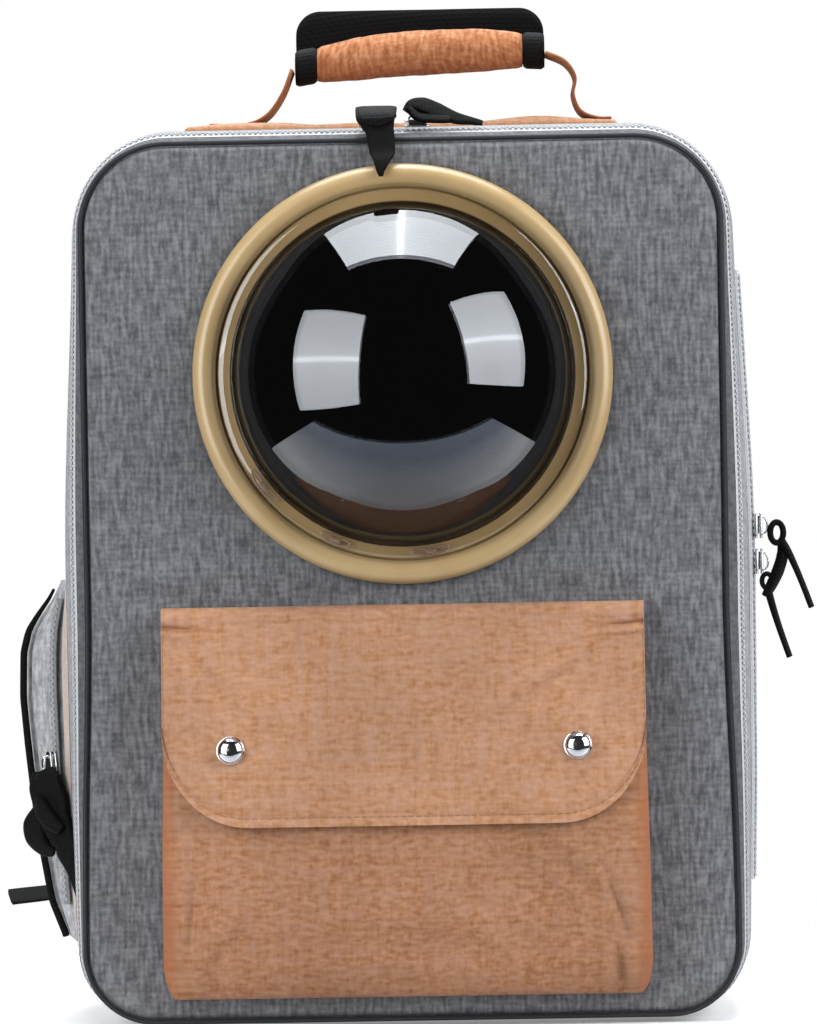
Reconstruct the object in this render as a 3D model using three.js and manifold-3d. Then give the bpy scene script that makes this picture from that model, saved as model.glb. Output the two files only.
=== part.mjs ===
import * as THREE from 'three';
import { LoftGeometry } from 'three/addons/geometries/LoftGeometry.js';
import { mergeVertices } from 'three/addons/utils/BufferGeometryUtils.js';
import Module from 'manifold-3d';

const wasm = await Module();
wasm.setup();

// Bubble pet carrier backpack in millimetres. It stands on its bottom with +Z up and its front facing -Y.
// The origin is the middle of the bottom wall.

// Gap kept between pieces that touch
const gap = 0.3;

// Body: the front seam is the line of the front piping, and the walls flare out behind it
const bodyDepth = 200;
const seamBottomWidth = 304.6;
const topCorner = 40;
const bottomCorner = 32;
const sideFlare = 9.3;
const sideBulge = 7.7;
const topFlare = 12.7;
const bottomFlare = 3.2;
const pipingRadius = 2.2;
const panelThickness = 8;
const panelProud = 3.5;
const panelEdge = 1.5;
const bandWidth = 12.5;
const bandWall = 2.2;
const zipWidth = 10;
const zipWall = 2;
const zipSunk = 0.4;
const coilWidth = 4;
const coilHeight = 0.9;
const gussetWall = 6;
const liningWall = 1.2;

// Half width of the front seam over its height, as shares of the bottom width's half
const seamSides = [
  { up: 0, half: 1 },
  { up: 0.13, half: 0.999 },
  { up: 0.25, half: 0.993 },
  { up: 0.35, half: 0.983 },
  { up: 0.45, half: 0.977 },
  { up: 0.6, half: 0.979 },
  { up: 1, half: 0.981 },
];

// How far the walls have flared out at each share of the depth
const flareRows = [
  { back: 0, out: 0, down: 0 },
  { back: 0.075, out: 0.42, down: 0.5 },
  { back: 0.125, out: 0.62, down: 0.8 },
  { back: 0.25, out: 0.86, down: 1 },
  { back: 0.4, out: 0.97, down: 1 },
  { back: 0.55, out: 1, down: 1 },
  { back: 0.75, out: 0.93, down: 1 },
  { back: 0.9, out: 0.76, down: 1 },
  { back: 1, out: 0.6, down: 0.2 },
];
const cornerSteps = 5;
const sideSteps = 7;
const endSteps = 5;

// Bubble window: it lies between the flap and the top seam
const windowGap = 9.5;
const windowMargin = 11.2;
const ringRadius = 98;
const ringWidth = 12;
const ringRise = 7.7;
const lipWidth = 5.4;
const lipSunk = 1.8;
const sleeveStep = 4.2;
const sleeveWall = 4;
const sleeveReach = 3;
const domeRise = 68;
const domeWall = 2.8;
const flangeThickness = 2.2;
// Rounded face of the ring, from its outer edge to its bore
const ringRows = [
  { in: 0.033, rise: 0 },
  { in: 0, rise: 0.3 },
  { in: 0.15, rise: 0.75 },
  { in: 0.467, rise: 1 },
  { in: 0.867, rise: 0.82 },
  { in: 1, rise: 0.5 },
];
const clipLength = 9;
const clipEase = 1.1;
const clipThickness = 2.2;
const clipAngles = [218, 247, 278];
const roundSteps = 36;
const domeSteps = 6;

// Front pocket, whose middle lies a little to the left
const pocketWidth = 227;
const pocketHeight = 176.5;
const pocketLift = 10.3;
const pocketMiddle = -2;
const pocketDepth = 22;
const pocketWall = 2;
const pocketCorner = 9;
const pocketCrown = 2.5;
const pocketRows = [
  { up: 0, wide: 0.94, deep: 0.3 },
  { up: 0.025, wide: 0.985, deep: 0.58 },
  { up: 0.08, wide: 1, deep: 0.82 },
  { up: 0.2, wide: 1, deep: 1 },
  { up: 0.4, wide: 0.995, deep: 0.98 },
  { up: 0.6, wide: 0.99, deep: 0.84 },
  { up: 0.8, wide: 0.985, deep: 0.64 },
  { up: 1, wide: 0.98, deep: 0.42 },
];

// Pocket flap and its snaps
const flapInset = 1.5;
const flapOver = 6;
const flapDrop = 101.5;
const flapWall = 2.2;
const flapCornerWidth = 40;
const flapCornerHeight = 44;
const flapEase = 0.8;
const snapInset = 31.8;
const snapLift = 35.5;
const snapRadius = 6.75;
const snapRise = 4;

// Handle: it sits a little to the right, and rises towards that side
const handleMiddle = 9.6;
const handleRise = 36.5;
const handleTilt = 0.053;
const handleArch = 2.4;
const gripLength = 100;
const gripHeight = 22;
const gripDepth = 25;
const gripEndLength = 10.5;
const gripEndHeight = 17;
const wrapThickness = 4;
const wrapRise = 25.1;
const wrapCorner = 12;
const wrapLean = 2.5;
const strapWidth = 25;
const strapWall = 2.4;
const patchMargin = 2;
const patchWidth = 56;
const patchWall = 2.6;

// Zip sliders and their tapes
const sliderLength = 12;
const sliderWidth = 8;
const sliderHeight = 3.6;
const bailHeight = 3;
const pullWall = 2;

const sliderSpace = 5;
const topSliderLeft = -13;
const topSliderRight = 8.5;

// Side zips and tab
const sideZipBack = 0.25;
const sideZipFoot = 62;
const sideZipHead = 60.7;
const sideZipWidth = 12;
const sideZipWall = 1.1;
const rightSliderAt = 0.58;
const tabDrop = 90.5;
const tabLength = 11;
const tabWall = 2.4;
const tabSpace = 2;

// Left side pocket: it stands out from the wall between two feet
const pouchLift = 37;
const pouchHeight = 173;
const pouchReach = 24;
const pouchWall = 2;
const pouchFrontFoot = 0.24;
const pouchFrontEdge = 0.45;
const pouchBackEdge = 0.68;
const pouchBackFoot = 0.82;
const pouchZipAt = 0.3;
const pouchSliderAt = 0.49;
const pleatDepth = 1.4;
const pleatCount = 3;
const pouchRows = [
  { up: 0, out: 0.3 },
  { up: 0.1, out: 0.56 },
  { up: 0.23, out: 0.7 },
  { up: 0.38, out: 0.82 },
  { up: 0.54, out: 0.93 },
  { up: 0.67, out: 1 },
  { up: 0.82, out: 0.97 },
  { up: 0.89, out: 0.88 },
  { up: 0.95, out: 0.68 },
  { up: 1, out: 0.3 },
];
const bindingWall = 3.4;

// Shoulder straps: the pads bow out from the back and end in ladder locks
const padThickness = 10;
const padWidth = 60;
const padBow = 42;
const padRows = [
  { out: 0.29, bow: 0, up: 0.922, wide: 0.83, thick: 1 },
  { out: 0.315, bow: 0.05, up: 0.858, wide: 0.93, thick: 1 },
  { out: 0.368, bow: 0.7, up: 0.748, wide: 1, thick: 1 },
  { out: 0.446, bow: 1, up: 0.616, wide: 1, thick: 1 },
  { out: 0.538, bow: 1, up: 0.482, wide: 0.9, thick: 1 },
  { out: 0.63, bow: 0.76, up: 0.367, wide: 0.63, thick: 0.8 },
  { out: 0.676, bow: 0.6, up: 0.31, wide: 0.47, thick: 0.6 },
];
const lockWidth = 32;
const lockLength = 19;
const lockWall = 4.5;
const webbingFoot = 22;
const webbingFootOut = 0.81;

// Where the strap tails hang, from the lower end of their locks
const tailRows = {
  left: [
    { out: 6, back: 1.5, drop: 15 },
    { out: 22, back: 1, drop: 41 },
    { out: 45, back: -2, drop: 57 },
    { out: 73, back: -8, drop: 63 },
    { out: 102, back: -13, drop: 66 },
  ],
  right: [
    { out: 2.4, back: 0, drop: 15 },
    { out: 5, back: -1, drop: 51 },
    { out: 6, back: -1.5, drop: 83 },
  ],
};
const webbingWall = 2;
const webbingWidth = 24;

// Useful places
const frontY = -bodyDepth / 2;
const pocketBottom = bottomFlare + pocketLift;
const pocketTop = pocketBottom + pocketHeight;
const flapTop = pocketTop + flapOver;
const flapBottom = flapTop - flapDrop;
const flapWidth = pocketWidth - 2 * flapInset;
const snapHeight = flapBottom + snapLift;
const windowHeight = flapTop + windowGap + ringRadius;
const ringBore = ringRadius - ringWidth;
const ringLip = ringBore - lipWidth;
const seamTop = windowHeight + ringRadius + windowMargin;
const seamHeight = seamTop - bottomFlare;
const panelInset = Math.max(pipingRadius, bandWall) + gap;
const panelFront = frontY - panelProud;
const panelBack = panelFront + panelThickness;
const bodyTop = seamTop + topFlare;
const handleHeight = bodyTop + handleRise;
const pouchTop = pouchLift + pouchHeight;
const bandStart = pipingRadius + gap;
const zipStart = bandStart + bandWidth + gap;
const gussetStart = zipStart + zipWidth + gap;
const gussetEnd = bodyDepth - pipingRadius - gap;
const backStart = gussetEnd + gap;

// Value of a column between the rows of a table
function between(rows, key, at, column) {
  let next = rows.findIndex((row) => row[key] >= at);
  if (next < 0) next = rows.length - 1;
  if (next === 0) return rows[0][column];
  const low = rows[next - 1];
  const high = rows[next];
  const share = Math.min(1, (at - low[key]) / (high[key] - low[key]));
  return low[column] + (high[column] - low[column]) * share;
}

const halfWidthAt = (z) => {
  const up = (z - bottomFlare) / seamHeight;
  return (seamBottomWidth / 2) * between(seamSides, 'up', up, 'half');
};

// The front seam as points with outward normals, anticlockwise as seen from the front
function seamOutline() {
  const points = [];
  const lowZ = bottomFlare + bottomCorner;
  const highZ = seamTop - topCorner;
  const lowX = halfWidthAt(lowZ) - bottomCorner;
  const highX = halfWidthAt(highZ) - topCorner;
  const corner = (cx, cz, radius, from) => {
    for (let step = 0; step <= cornerSteps; step++) {
      const angle = from + ((Math.PI / 2) * step) / cornerSteps;
      const nx = Math.cos(angle);
      const nz = Math.sin(angle);
      points.push({ x: cx + radius * nx, z: cz + radius * nz, nx, nz });
    }
  };
  const side = (sign) => {
    for (let step = 1; step < sideSteps; step++) {
      const share = sign > 0 ? step / sideSteps : 1 - step / sideSteps;
      const z = lowZ + (highZ - lowZ) * share;
      points.push({ x: sign * halfWidthAt(z), z, nx: sign, nz: 0 });
    }
  };
  const end = (fromX, z, nz) => {
    for (let step = 1; step < endSteps; step++) {
      points.push({ x: fromX * (1 - (2 * step) / endSteps), z, nx: 0, nz });
    }
  };
  corner(lowX, lowZ, bottomCorner, -Math.PI / 2);
  side(1);
  corner(highX, highZ, topCorner, 0);
  end(highX, seamTop, 1);
  corner(-highX, highZ, topCorner, Math.PI / 2);
  side(-1);
  corner(-lowX, lowZ, bottomCorner, Math.PI);
  end(-lowX, bottomFlare, -1);
  return points;
}
const outline = seamOutline();

const flareAt = (depth, way = 'out') => between(flareRows, 'back', Math.max(0, depth) / bodyDepth, way);
const sideReach = (z) => sideFlare + sideBulge * Math.sin((Math.PI * (z - bottomFlare)) / seamHeight) ** 2;

// A point of the body wall: moved in by inset, flared as the wall is at depth, and set at y
function wallPoint(p, depth, inset, y = frontY + depth) {
  const share = flareAt(depth);
  const lift = p.nz > 0 ? topFlare * share : bottomFlare * flareAt(depth, 'down');
  const x = p.x - p.nx * inset + p.nx * sideReach(p.z) * share;
  return new THREE.Vector3(x, y, p.z - p.nz * inset + p.nz * lift);
}
const wallRing = (depth, inset, y) => outline.map((p) => wallPoint(p, depth, inset, y));

// A closed mesh with shared corners and its faces turned outwards
function outward(geometry) {
  const bare = new THREE.BufferGeometry().setIndex(geometry.index);
  bare.setAttribute('position', geometry.getAttribute('position'));
  const merged = mergeVertices(bare, 1e-3);
  const at = merged.getAttribute('position');
  const index = merged.index.array;
  const a = new THREE.Vector3();
  const b = new THREE.Vector3();
  const c = new THREE.Vector3();
  const kept = [];
  let volume = 0;
  for (let i = 0; i < index.length; i += 3) {
    const [p, q, r] = [index[i], index[i + 1], index[i + 2]];
    if (p === q || q === r || r === p) continue;
    kept.push(p, q, r);
    a.fromBufferAttribute(at, p);
    b.fromBufferAttribute(at, q);
    c.fromBufferAttribute(at, r);
    volume += a.dot(b.cross(c));
  }
  if (volume < 0) kept.reverse();
  merged.setIndex(kept);
  return merged;
}

// Middle of a section, and the normal of the plane that it lies in
const middleOf = (section) => {
  const sum = section.reduce((total, p) => total.add(p), new THREE.Vector3());
  return sum.divideScalar(section.length);
};
function normalOf(section) {
  const normal = new THREE.Vector3();
  section.forEach((p, i) => normal.add(p.clone().cross(section[(i + 1) % section.length])));
  return normal;
}

// A closed body through sections of equally many points, capped at both ends or looped back on itself.
// Capped sections run anticlockwise as seen from the far end.
function loft(sections, looped = false) {
  if (looped) return outward(new LoftGeometry([...sections, sections[0]]));
  const along = middleOf(sections[1]).sub(middleOf(sections[0]));
  const turned = normalOf(sections[0]).dot(along) < 0;
  const rows = turned ? sections.map((section) => [...section].reverse()) : sections;
  return outward(new LoftGeometry(rows, { capStart: true, capEnd: true }));
}

const solidOf = (geometry) => {
  const mesh = new wasm.Mesh({
    numProp: 3,
    vertProperties: geometry.getAttribute('position').array,
    triVerts: new Uint32Array(geometry.index.array),
  });
  return new wasm.Manifold(mesh);
};

function geometryOf(solid) {
  const mesh = solid.getMesh();
  const geometry = new THREE.BufferGeometry();
  geometry.setAttribute('position', new THREE.BufferAttribute(new Float32Array(mesh.vertProperties), 3));
  geometry.setIndex([...mesh.triVerts]);
  return geometry;
}

// First geometry less the others
function cut(geometry, ...tools) {
  let solid = solidOf(geometry);
  for (const tool of tools) solid = solid.subtract(solidOf(tool));
  return geometryOf(solid);
}
const join = (first, ...others) => geometryOf(others.reduce((sum, g) => sum.add(solidOf(g)), solidOf(first)));
const common = (first, second) => geometryOf(solidOf(first).intersect(solidOf(second)));

function box(lowX, highX, lowY, highY, lowZ, highZ) {
  const geometry = new THREE.BoxGeometry(highX - lowX, highY - lowY, highZ - lowZ);
  geometry.translate((lowX + highX) / 2, (lowY + highY) / 2, (lowZ + highZ) / 2);
  return outward(geometry);
}

// A ring round the body whose section is a closed list of depths and insets
const bodyBand = (rows) => {
  const section = (p) => rows.map((row) => wallPoint(p, row.depth, row.inset));
  return loft(outline.map(section), true);
};

// A filled slice of the body
const bodyPlug = (rows) => loft(rows.map((row) => wallRing(row.depth, row.inset, row.y)));

// The body's whole outer shape grown by an amount, for pieces that lie on the walls
function bodyShape(grow) {
  const depths = flareRows.map((row) => row.back * bodyDepth);
  return bodyPlug(depths.map((depth) => ({ depth, inset: -grow })));
}
const bodySkin = (lift, wall, region) => cut(common(bodyShape(lift + wall), region), bodyShape(lift));

// A body of revolution about the window's axis, which runs along Y
const lathe = (profile, steps = roundSteps) =>
  outward(new THREE.LatheGeometry(profile.map(([r, y]) => new THREE.Vector2(r, y)), steps));

// A flat strip along a curve through its rows. Each section lies square to the curve, with its width along
// the across direction and its wall square to both. Past a share of its length, a strip may turn to another
// direction.
const turnStart = 0.42;
function strip(rows, across, steps, acrossEnd = across) {
  const curve = new THREE.CatmullRomCurve3(rows.map((row) => new THREE.Vector3(row.x, row.y, row.z)));
  const sections = [];
  for (let step = 0; step <= steps; step++) {
    const t = step / steps;
    const place = t * (rows.length - 1);
    const from = rows[Math.min(rows.length - 2, Math.floor(place))];
    const to = rows[Math.min(rows.length - 1, Math.floor(place) + 1)];
    const share = place - Math.min(rows.length - 2, Math.floor(place));
    const width = from.width + (to.width - from.width) * share;
    const wall = from.wall + (to.wall - from.wall) * share;
    const point = curve.getPoint(t);
    const tangent = curve.getTangent(t);
    const turn = Math.max(0, t - turnStart) / (1 - turnStart);
    const wanted = across.clone().lerp(acrossEnd, turn);
    const side = wanted.clone().addScaledVector(tangent, -wanted.dot(tangent)).normalize();
    const normal = new THREE.Vector3().crossVectors(tangent, side).normalize();
    const corners = [
      [-1, -1],
      [1, -1],
      [1, 1],
      [-1, 1],
    ];
    sections.push(
      corners.map(([s, n]) =>
        point.clone().addScaledVector(side, (s * width) / 2).addScaledVector(normal, (n * wall) / 2),
      ),
    );
  }
  return loft(sections);
}

const group = new THREE.Group();
const finishes = {
  grey: { color: 0x6d7078, roughness: 0.9, metalness: 0 },
  light: { color: 0xa4a6aa, roughness: 0.85, metalness: 0 },
  tape: { color: 0xc8cacd, roughness: 0.7, metalness: 0 },
  piping: { color: 0x2b2e36, roughness: 0.6, metalness: 0 },
  black: { color: 0x121214, roughness: 0.7, metalness: 0 },
  orange: { color: 0xc98255, roughness: 0.9, metalness: 0 },
  gold: { color: 0xb09a66, roughness: 0.35, metalness: 0 },
  clear: { color: 0x9a9a98, roughness: 0.05, metalness: 0 },
  chrome: { color: 0xd6d6d8, roughness: 0.12, metalness: 1 },
  plastic: { color: 0x18181a, roughness: 0.4, metalness: 0 },
};

function add(name, geometry, finish) {
  const mesh = new THREE.Mesh(geometry, new THREE.MeshStandardMaterial(finishes[finish]));
  mesh.name = name;
  group.add(mesh);
  return mesh;
}

// The piping's round section
const pipingSides = 6;
const pipingRows = Array.from({ length: pipingSides }, (unused, i) => {
  const angle = (2 * Math.PI * i) / pipingSides;
  return { depth: pipingRadius * Math.cos(angle), inset: -pipingRadius * Math.sin(angle) };
});

// Piping keeps the flare of one depth, so that its section stays round
const piping = (depth) => {
  const section = (p) => pipingRows.map((row) => wallPoint(p, depth, row.inset, frontY + depth + row.depth));
  return loft(outline.map(section), true);
};

function buildBody() {
  const panelRows = [
    { depth: 0, inset: panelInset + panelEdge, y: panelFront },
    { depth: 0, inset: panelInset, y: panelFront + panelEdge },
    { depth: 0, inset: panelInset, y: panelBack },
  ];
  const holeRadius = ringLip + sleeveStep + sleeveWall;
  const hole = lathe([
    [0, panelFront - panelEdge],
    [holeRadius, panelFront - panelEdge],
    [holeRadius, panelBack + panelEdge],
    [0, panelBack + panelEdge],
  ]);
  hole.translate(0, 0, windowHeight);
  add('front_panel', cut(bodyPlug(panelRows), hole), 'grey');
  add('front_piping', piping(0), 'piping');

  const band = [bandStart, bandStart + bandWidth / 2, bandStart + bandWidth];
  add('front_band', bodyBand(wallRows(band, bandWall)), 'grey');

  const zipMiddle = zipStart + zipWidth / 2;
  const zipRows = [
    { depth: zipStart, inset: zipSunk },
    { depth: zipMiddle - coilWidth / 2, inset: zipSunk },
    { depth: zipMiddle - coilWidth / 4, inset: zipSunk - coilHeight },
    { depth: zipMiddle + coilWidth / 4, inset: zipSunk - coilHeight },
    { depth: zipMiddle + coilWidth / 2, inset: zipSunk },
    { depth: zipStart + zipWidth, inset: zipSunk },
    { depth: zipStart + zipWidth, inset: zipWall },
    { depth: zipStart, inset: zipWall },
  ];
  add('front_zip', bodyBand(zipRows), 'tape');

  const middle = flareRows.map((row) => row.back * bodyDepth).filter((d) => d > gussetStart && d < gussetEnd);
  const gusset = [gussetStart, ...middle, gussetEnd];
  add('gusset', bodyBand(wallRows(gusset, gussetWall)), 'light');

  const liningInset = gussetWall + gap;
  const liningFront = panelBack - frontY + gap;
  const liningDepths = [liningFront, gussetStart, ...middle.filter((d, i) => i % 2), gussetEnd - gap];
  const outer = liningDepths.map((depth) => ({ depth, inset: liningInset }));
  const inner = liningDepths.map((depth) => ({ depth, inset: liningInset + liningWall }));
  inner[0].y = frontY + liningFront - 1;
  inner[inner.length - 1].y = frontY + gussetEnd - gap - liningWall;
  add('cabin_lining', cut(bodyPlug(outer), bodyPlug(inner)), 'black');

  add('rear_piping', piping(bodyDepth), 'piping');
  const backRows = [
    { depth: bodyDepth, inset: panelInset, y: frontY + backStart },
    { depth: bodyDepth, inset: panelInset, y: frontY + backStart + panelThickness - panelEdge },
    { depth: bodyDepth, inset: panelInset + panelEdge, y: frontY + backStart + panelThickness },
  ];
  add('back_panel', bodyPlug(backRows), 'black');
}

// Outer and inner line of a wall over a list of depths
function wallRows(depths, wall) {
  const outer = depths.map((depth) => ({ depth, inset: 0 }));
  const inner = depths.map((depth) => ({ depth, inset: wall }));
  return [...outer, ...inner.reverse()];
}

function buildWindow() {
  const face = panelFront - gap;
  const sleeveIn = ringLip + sleeveStep;
  const sleeveOut = sleeveIn + sleeveWall - gap;
  const lipFront = face - lipSunk;
  const lipBack = face + sleeveReach / 3;
  const crest = ringRows.map((row) => [ringRadius - ringWidth * row.in, face - ringRise * row.rise]);
  const ring = lathe([
    [ringLip, lipFront],
    [ringLip, lipBack],
    [sleeveIn, face + sleeveReach],
    [sleeveIn, panelBack + sleeveReach],
    [sleeveOut, panelBack + sleeveReach],
    [sleeveOut, face],
    ...crest,
    [ringBore, lipFront],
    [ringLip, lipFront],
  ]);
  ring.translate(0, 0, windowHeight);
  add('dome_ring', ring, 'gold');

  const flangeBack = lipFront - gap;
  const flangeFront = flangeBack - flangeThickness;
  const domeRadius = ringLip - gap;
  const shell = (radius, rise, from) => {
    const points = [];
    for (let step = 0; step <= domeSteps; step++) {
      const angle = (Math.PI / 2) * (1 - step / domeSteps);
      points.push([step === 0 ? 0 : radius * Math.cos(angle), from - rise * Math.sin(angle)]);
    }
    return points;
  };
  const dome = lathe([
    ...shell(domeRadius, domeRise, flangeFront),
    [ringBore - gap, flangeFront],
    [ringBore - gap, flangeBack],
    [domeRadius, flangeBack],
    [domeRadius, lipBack],
    [domeRadius - domeWall, lipBack],
    ...shell(domeRadius - domeWall, domeRise - domeWall, flangeFront).reverse(),
  ]);
  dome.translate(0, 0, windowHeight);
  add('bubble_dome', dome, 'clear');

  const clipWidth = lipWidth - 2 * clipEase;
  const clipRadius = (ringLip + ringBore) / 2;
  clipAngles.forEach((degrees, i) => {
    const clip = box(
      clipRadius - clipWidth / 2,
      clipRadius + clipWidth / 2,
      flangeFront - gap - clipThickness,
      flangeFront - gap,
      -clipLength / 2,
      clipLength / 2,
    );
    clip.rotateY(THREE.MathUtils.degToRad(-degrees));
    clip.translate(0, 0, windowHeight);
    add(`dome_clip_${i + 1}`, clip, 'clear');
  });
}

// Outer face of the pocket: its depth off the panel at a height and a distance from its middle
function pocketReach(z) {
  return pocketDepth * between(pocketRows, 'up', (z - pocketBottom) / (pocketTop - pocketBottom), 'deep');
}

function pocketSection(z, row, inset, back) {
  const half = (pocketWidth / 2) * row.wide - inset;
  const front = panelFront - gap - pocketDepth * row.deep + inset;
  const corner = Math.min(pocketCorner, pocketDepth * row.deep * 0.7);
  const points = [];
  const cornerFan = 3;
  const faceSteps = 6;
  points.push([-half, back]);
  for (let step = 0; step <= cornerFan; step++) {
    const angle = ((Math.PI / 2) * step) / cornerFan;
    points.push([-half + corner * (1 - Math.cos(angle)), front + corner * (1 - Math.sin(angle))]);
  }
  for (let step = 1; step < faceSteps; step++) {
    const share = (2 * step) / faceSteps - 1;
    points.push([share * (half - corner), front - pocketCrown * (1 - share * share) * row.deep]);
  }
  for (let step = cornerFan; step >= 0; step--) {
    const angle = ((Math.PI / 2) * step) / cornerFan;
    points.push([half - corner * (1 - Math.cos(angle)), front + corner * (1 - Math.sin(angle))]);
  }
  points.push([half, back]);
  return points.map(([x, y]) => new THREE.Vector3(pocketMiddle + x, y, z));
}

function buildPocket() {
  const back = panelFront - gap;
  const height = pocketTop - pocketBottom;
  const outer = pocketRows.map((row) => pocketSection(pocketBottom + row.up * height, row, 0, back));
  const last = pocketRows.length - 1;
  const inner = pocketRows.map((row, i) => {
    const lift = i === 0 ? pocketWall : 0;
    const over = i === last ? 1 : 0;
    return pocketSection(pocketBottom + row.up * height + lift + over, row, pocketWall, back + 1);
  });
  inner.splice(1, 1);
  add('pocket_body', cut(loft(outer), loft(inner)), 'orange');
  buildFlap();
}

// Front face of the pocket that the flap lies on
function flapRest(x, z) {
  const share = Math.min(1, Math.abs(x) / (pocketWidth / 2 - pocketCorner));
  const deep = pocketReach(z);
  return deep + pocketCrown * (1 - share * share) * (deep / pocketDepth);
}

function flapLowEdge(x) {
  const past = Math.abs(x) - (flapWidth / 2 - flapCornerWidth);
  if (past <= 0) return flapBottom;
  const share = Math.min(1, past / flapCornerWidth);
  return flapBottom + flapCornerHeight * (1 - Math.sqrt(1 - share * share));
}

// The flap's inner line at one x, from its seam over the pocket's mouth and down to its edge
function flapLine(x) {
  const low = flapLowEdge(x);
  const seam = panelFront - gap;
  const reach = flapRest(x, pocketTop) + flapEase;
  const line = [
    [seam, flapTop - flapWall],
    [seam - reach * 0.55, flapTop - flapWall],
    [seam - reach * 0.9, flapTop - flapWall - 1],
    [seam - reach, pocketTop],
  ];
  const steps = 7;
  for (let step = 1; step <= steps; step++) {
    const z = pocketTop + ((low - pocketTop) * step) / steps;
    line.push([seam - flapRest(x, z) - flapEase, z]);
  }
  return line;
}

function buildFlap() {
  const stations = 16;
  const sections = [];
  for (let step = 0; step <= stations; step++) {
    const share = -Math.cos((Math.PI * step) / stations);
    const x = (flapWidth / 2) * share;
    const inside = flapLine(x);
    const outside = inside.map(([y, z], i) => {
      const before = inside[Math.max(0, i - 1)];
      const after = inside[Math.min(inside.length - 1, i + 1)];
      const run = Math.hypot(after[0] - before[0], after[1] - before[1]);
      const alongY = (after[0] - before[0]) / run;
      const alongZ = (after[1] - before[1]) / run;
      return [y + alongZ * flapWall, z - alongY * flapWall];
    });
    const ring = [...inside, ...outside.reverse()];
    sections.push(ring.map(([y, z]) => new THREE.Vector3(pocketMiddle + x, y, z)));
  }
  add('pocket_flap', loft(sections), 'orange');

  [-1, 1].forEach((sign) => {
    const x = sign * (flapWidth / 2 - snapInset);
    const rest = (z) => panelFront - gap - flapRest(x, z) - flapEase - flapWall - gap;
    const slope = (rest(snapHeight + snapRadius) - rest(snapHeight - snapRadius)) / (2 * snapRadius);
    const snap = lathe(
      [
        [0, 0],
        [snapRadius, 0],
        [snapRadius, -snapRise * 0.2],
        [snapRadius * 0.83, -snapRise * 0.62],
        [snapRadius * 0.48, -snapRise * 0.9],
        [0, -snapRise],
      ],
      14,
    );
    const mesh = add(sign < 0 ? 'snap_left' : 'snap_right', snap, 'chrome');
    mesh.rotation.x = -Math.atan(slope);
    mesh.position.set(pocketMiddle + x, rest(snapHeight) - 0.1, snapHeight);
  });
}

// Height of the handle's middle line at x
function handleZ(x) {
  const off = x - handleMiddle;
  const share = off / (gripLength / 2);
  return handleHeight + handleTilt * off + handleArch * (1 - share * share);
}

// A round padded roll along X
function roll(fromX, toX, rows) {
  const sides = 12;
  const sections = rows.map((row) => {
    const x = fromX + (toX - fromX) * row.along;
    const points = [];
    for (let i = 0; i < sides; i++) {
      const angle = (2 * Math.PI * i) / sides;
      points.push(
        new THREE.Vector3(x, (row.deep / 2) * Math.cos(angle), handleZ(x) + (row.high / 2) * Math.sin(angle)),
      );
    }
    return points;
  });
  return loft(sections);
}

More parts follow.
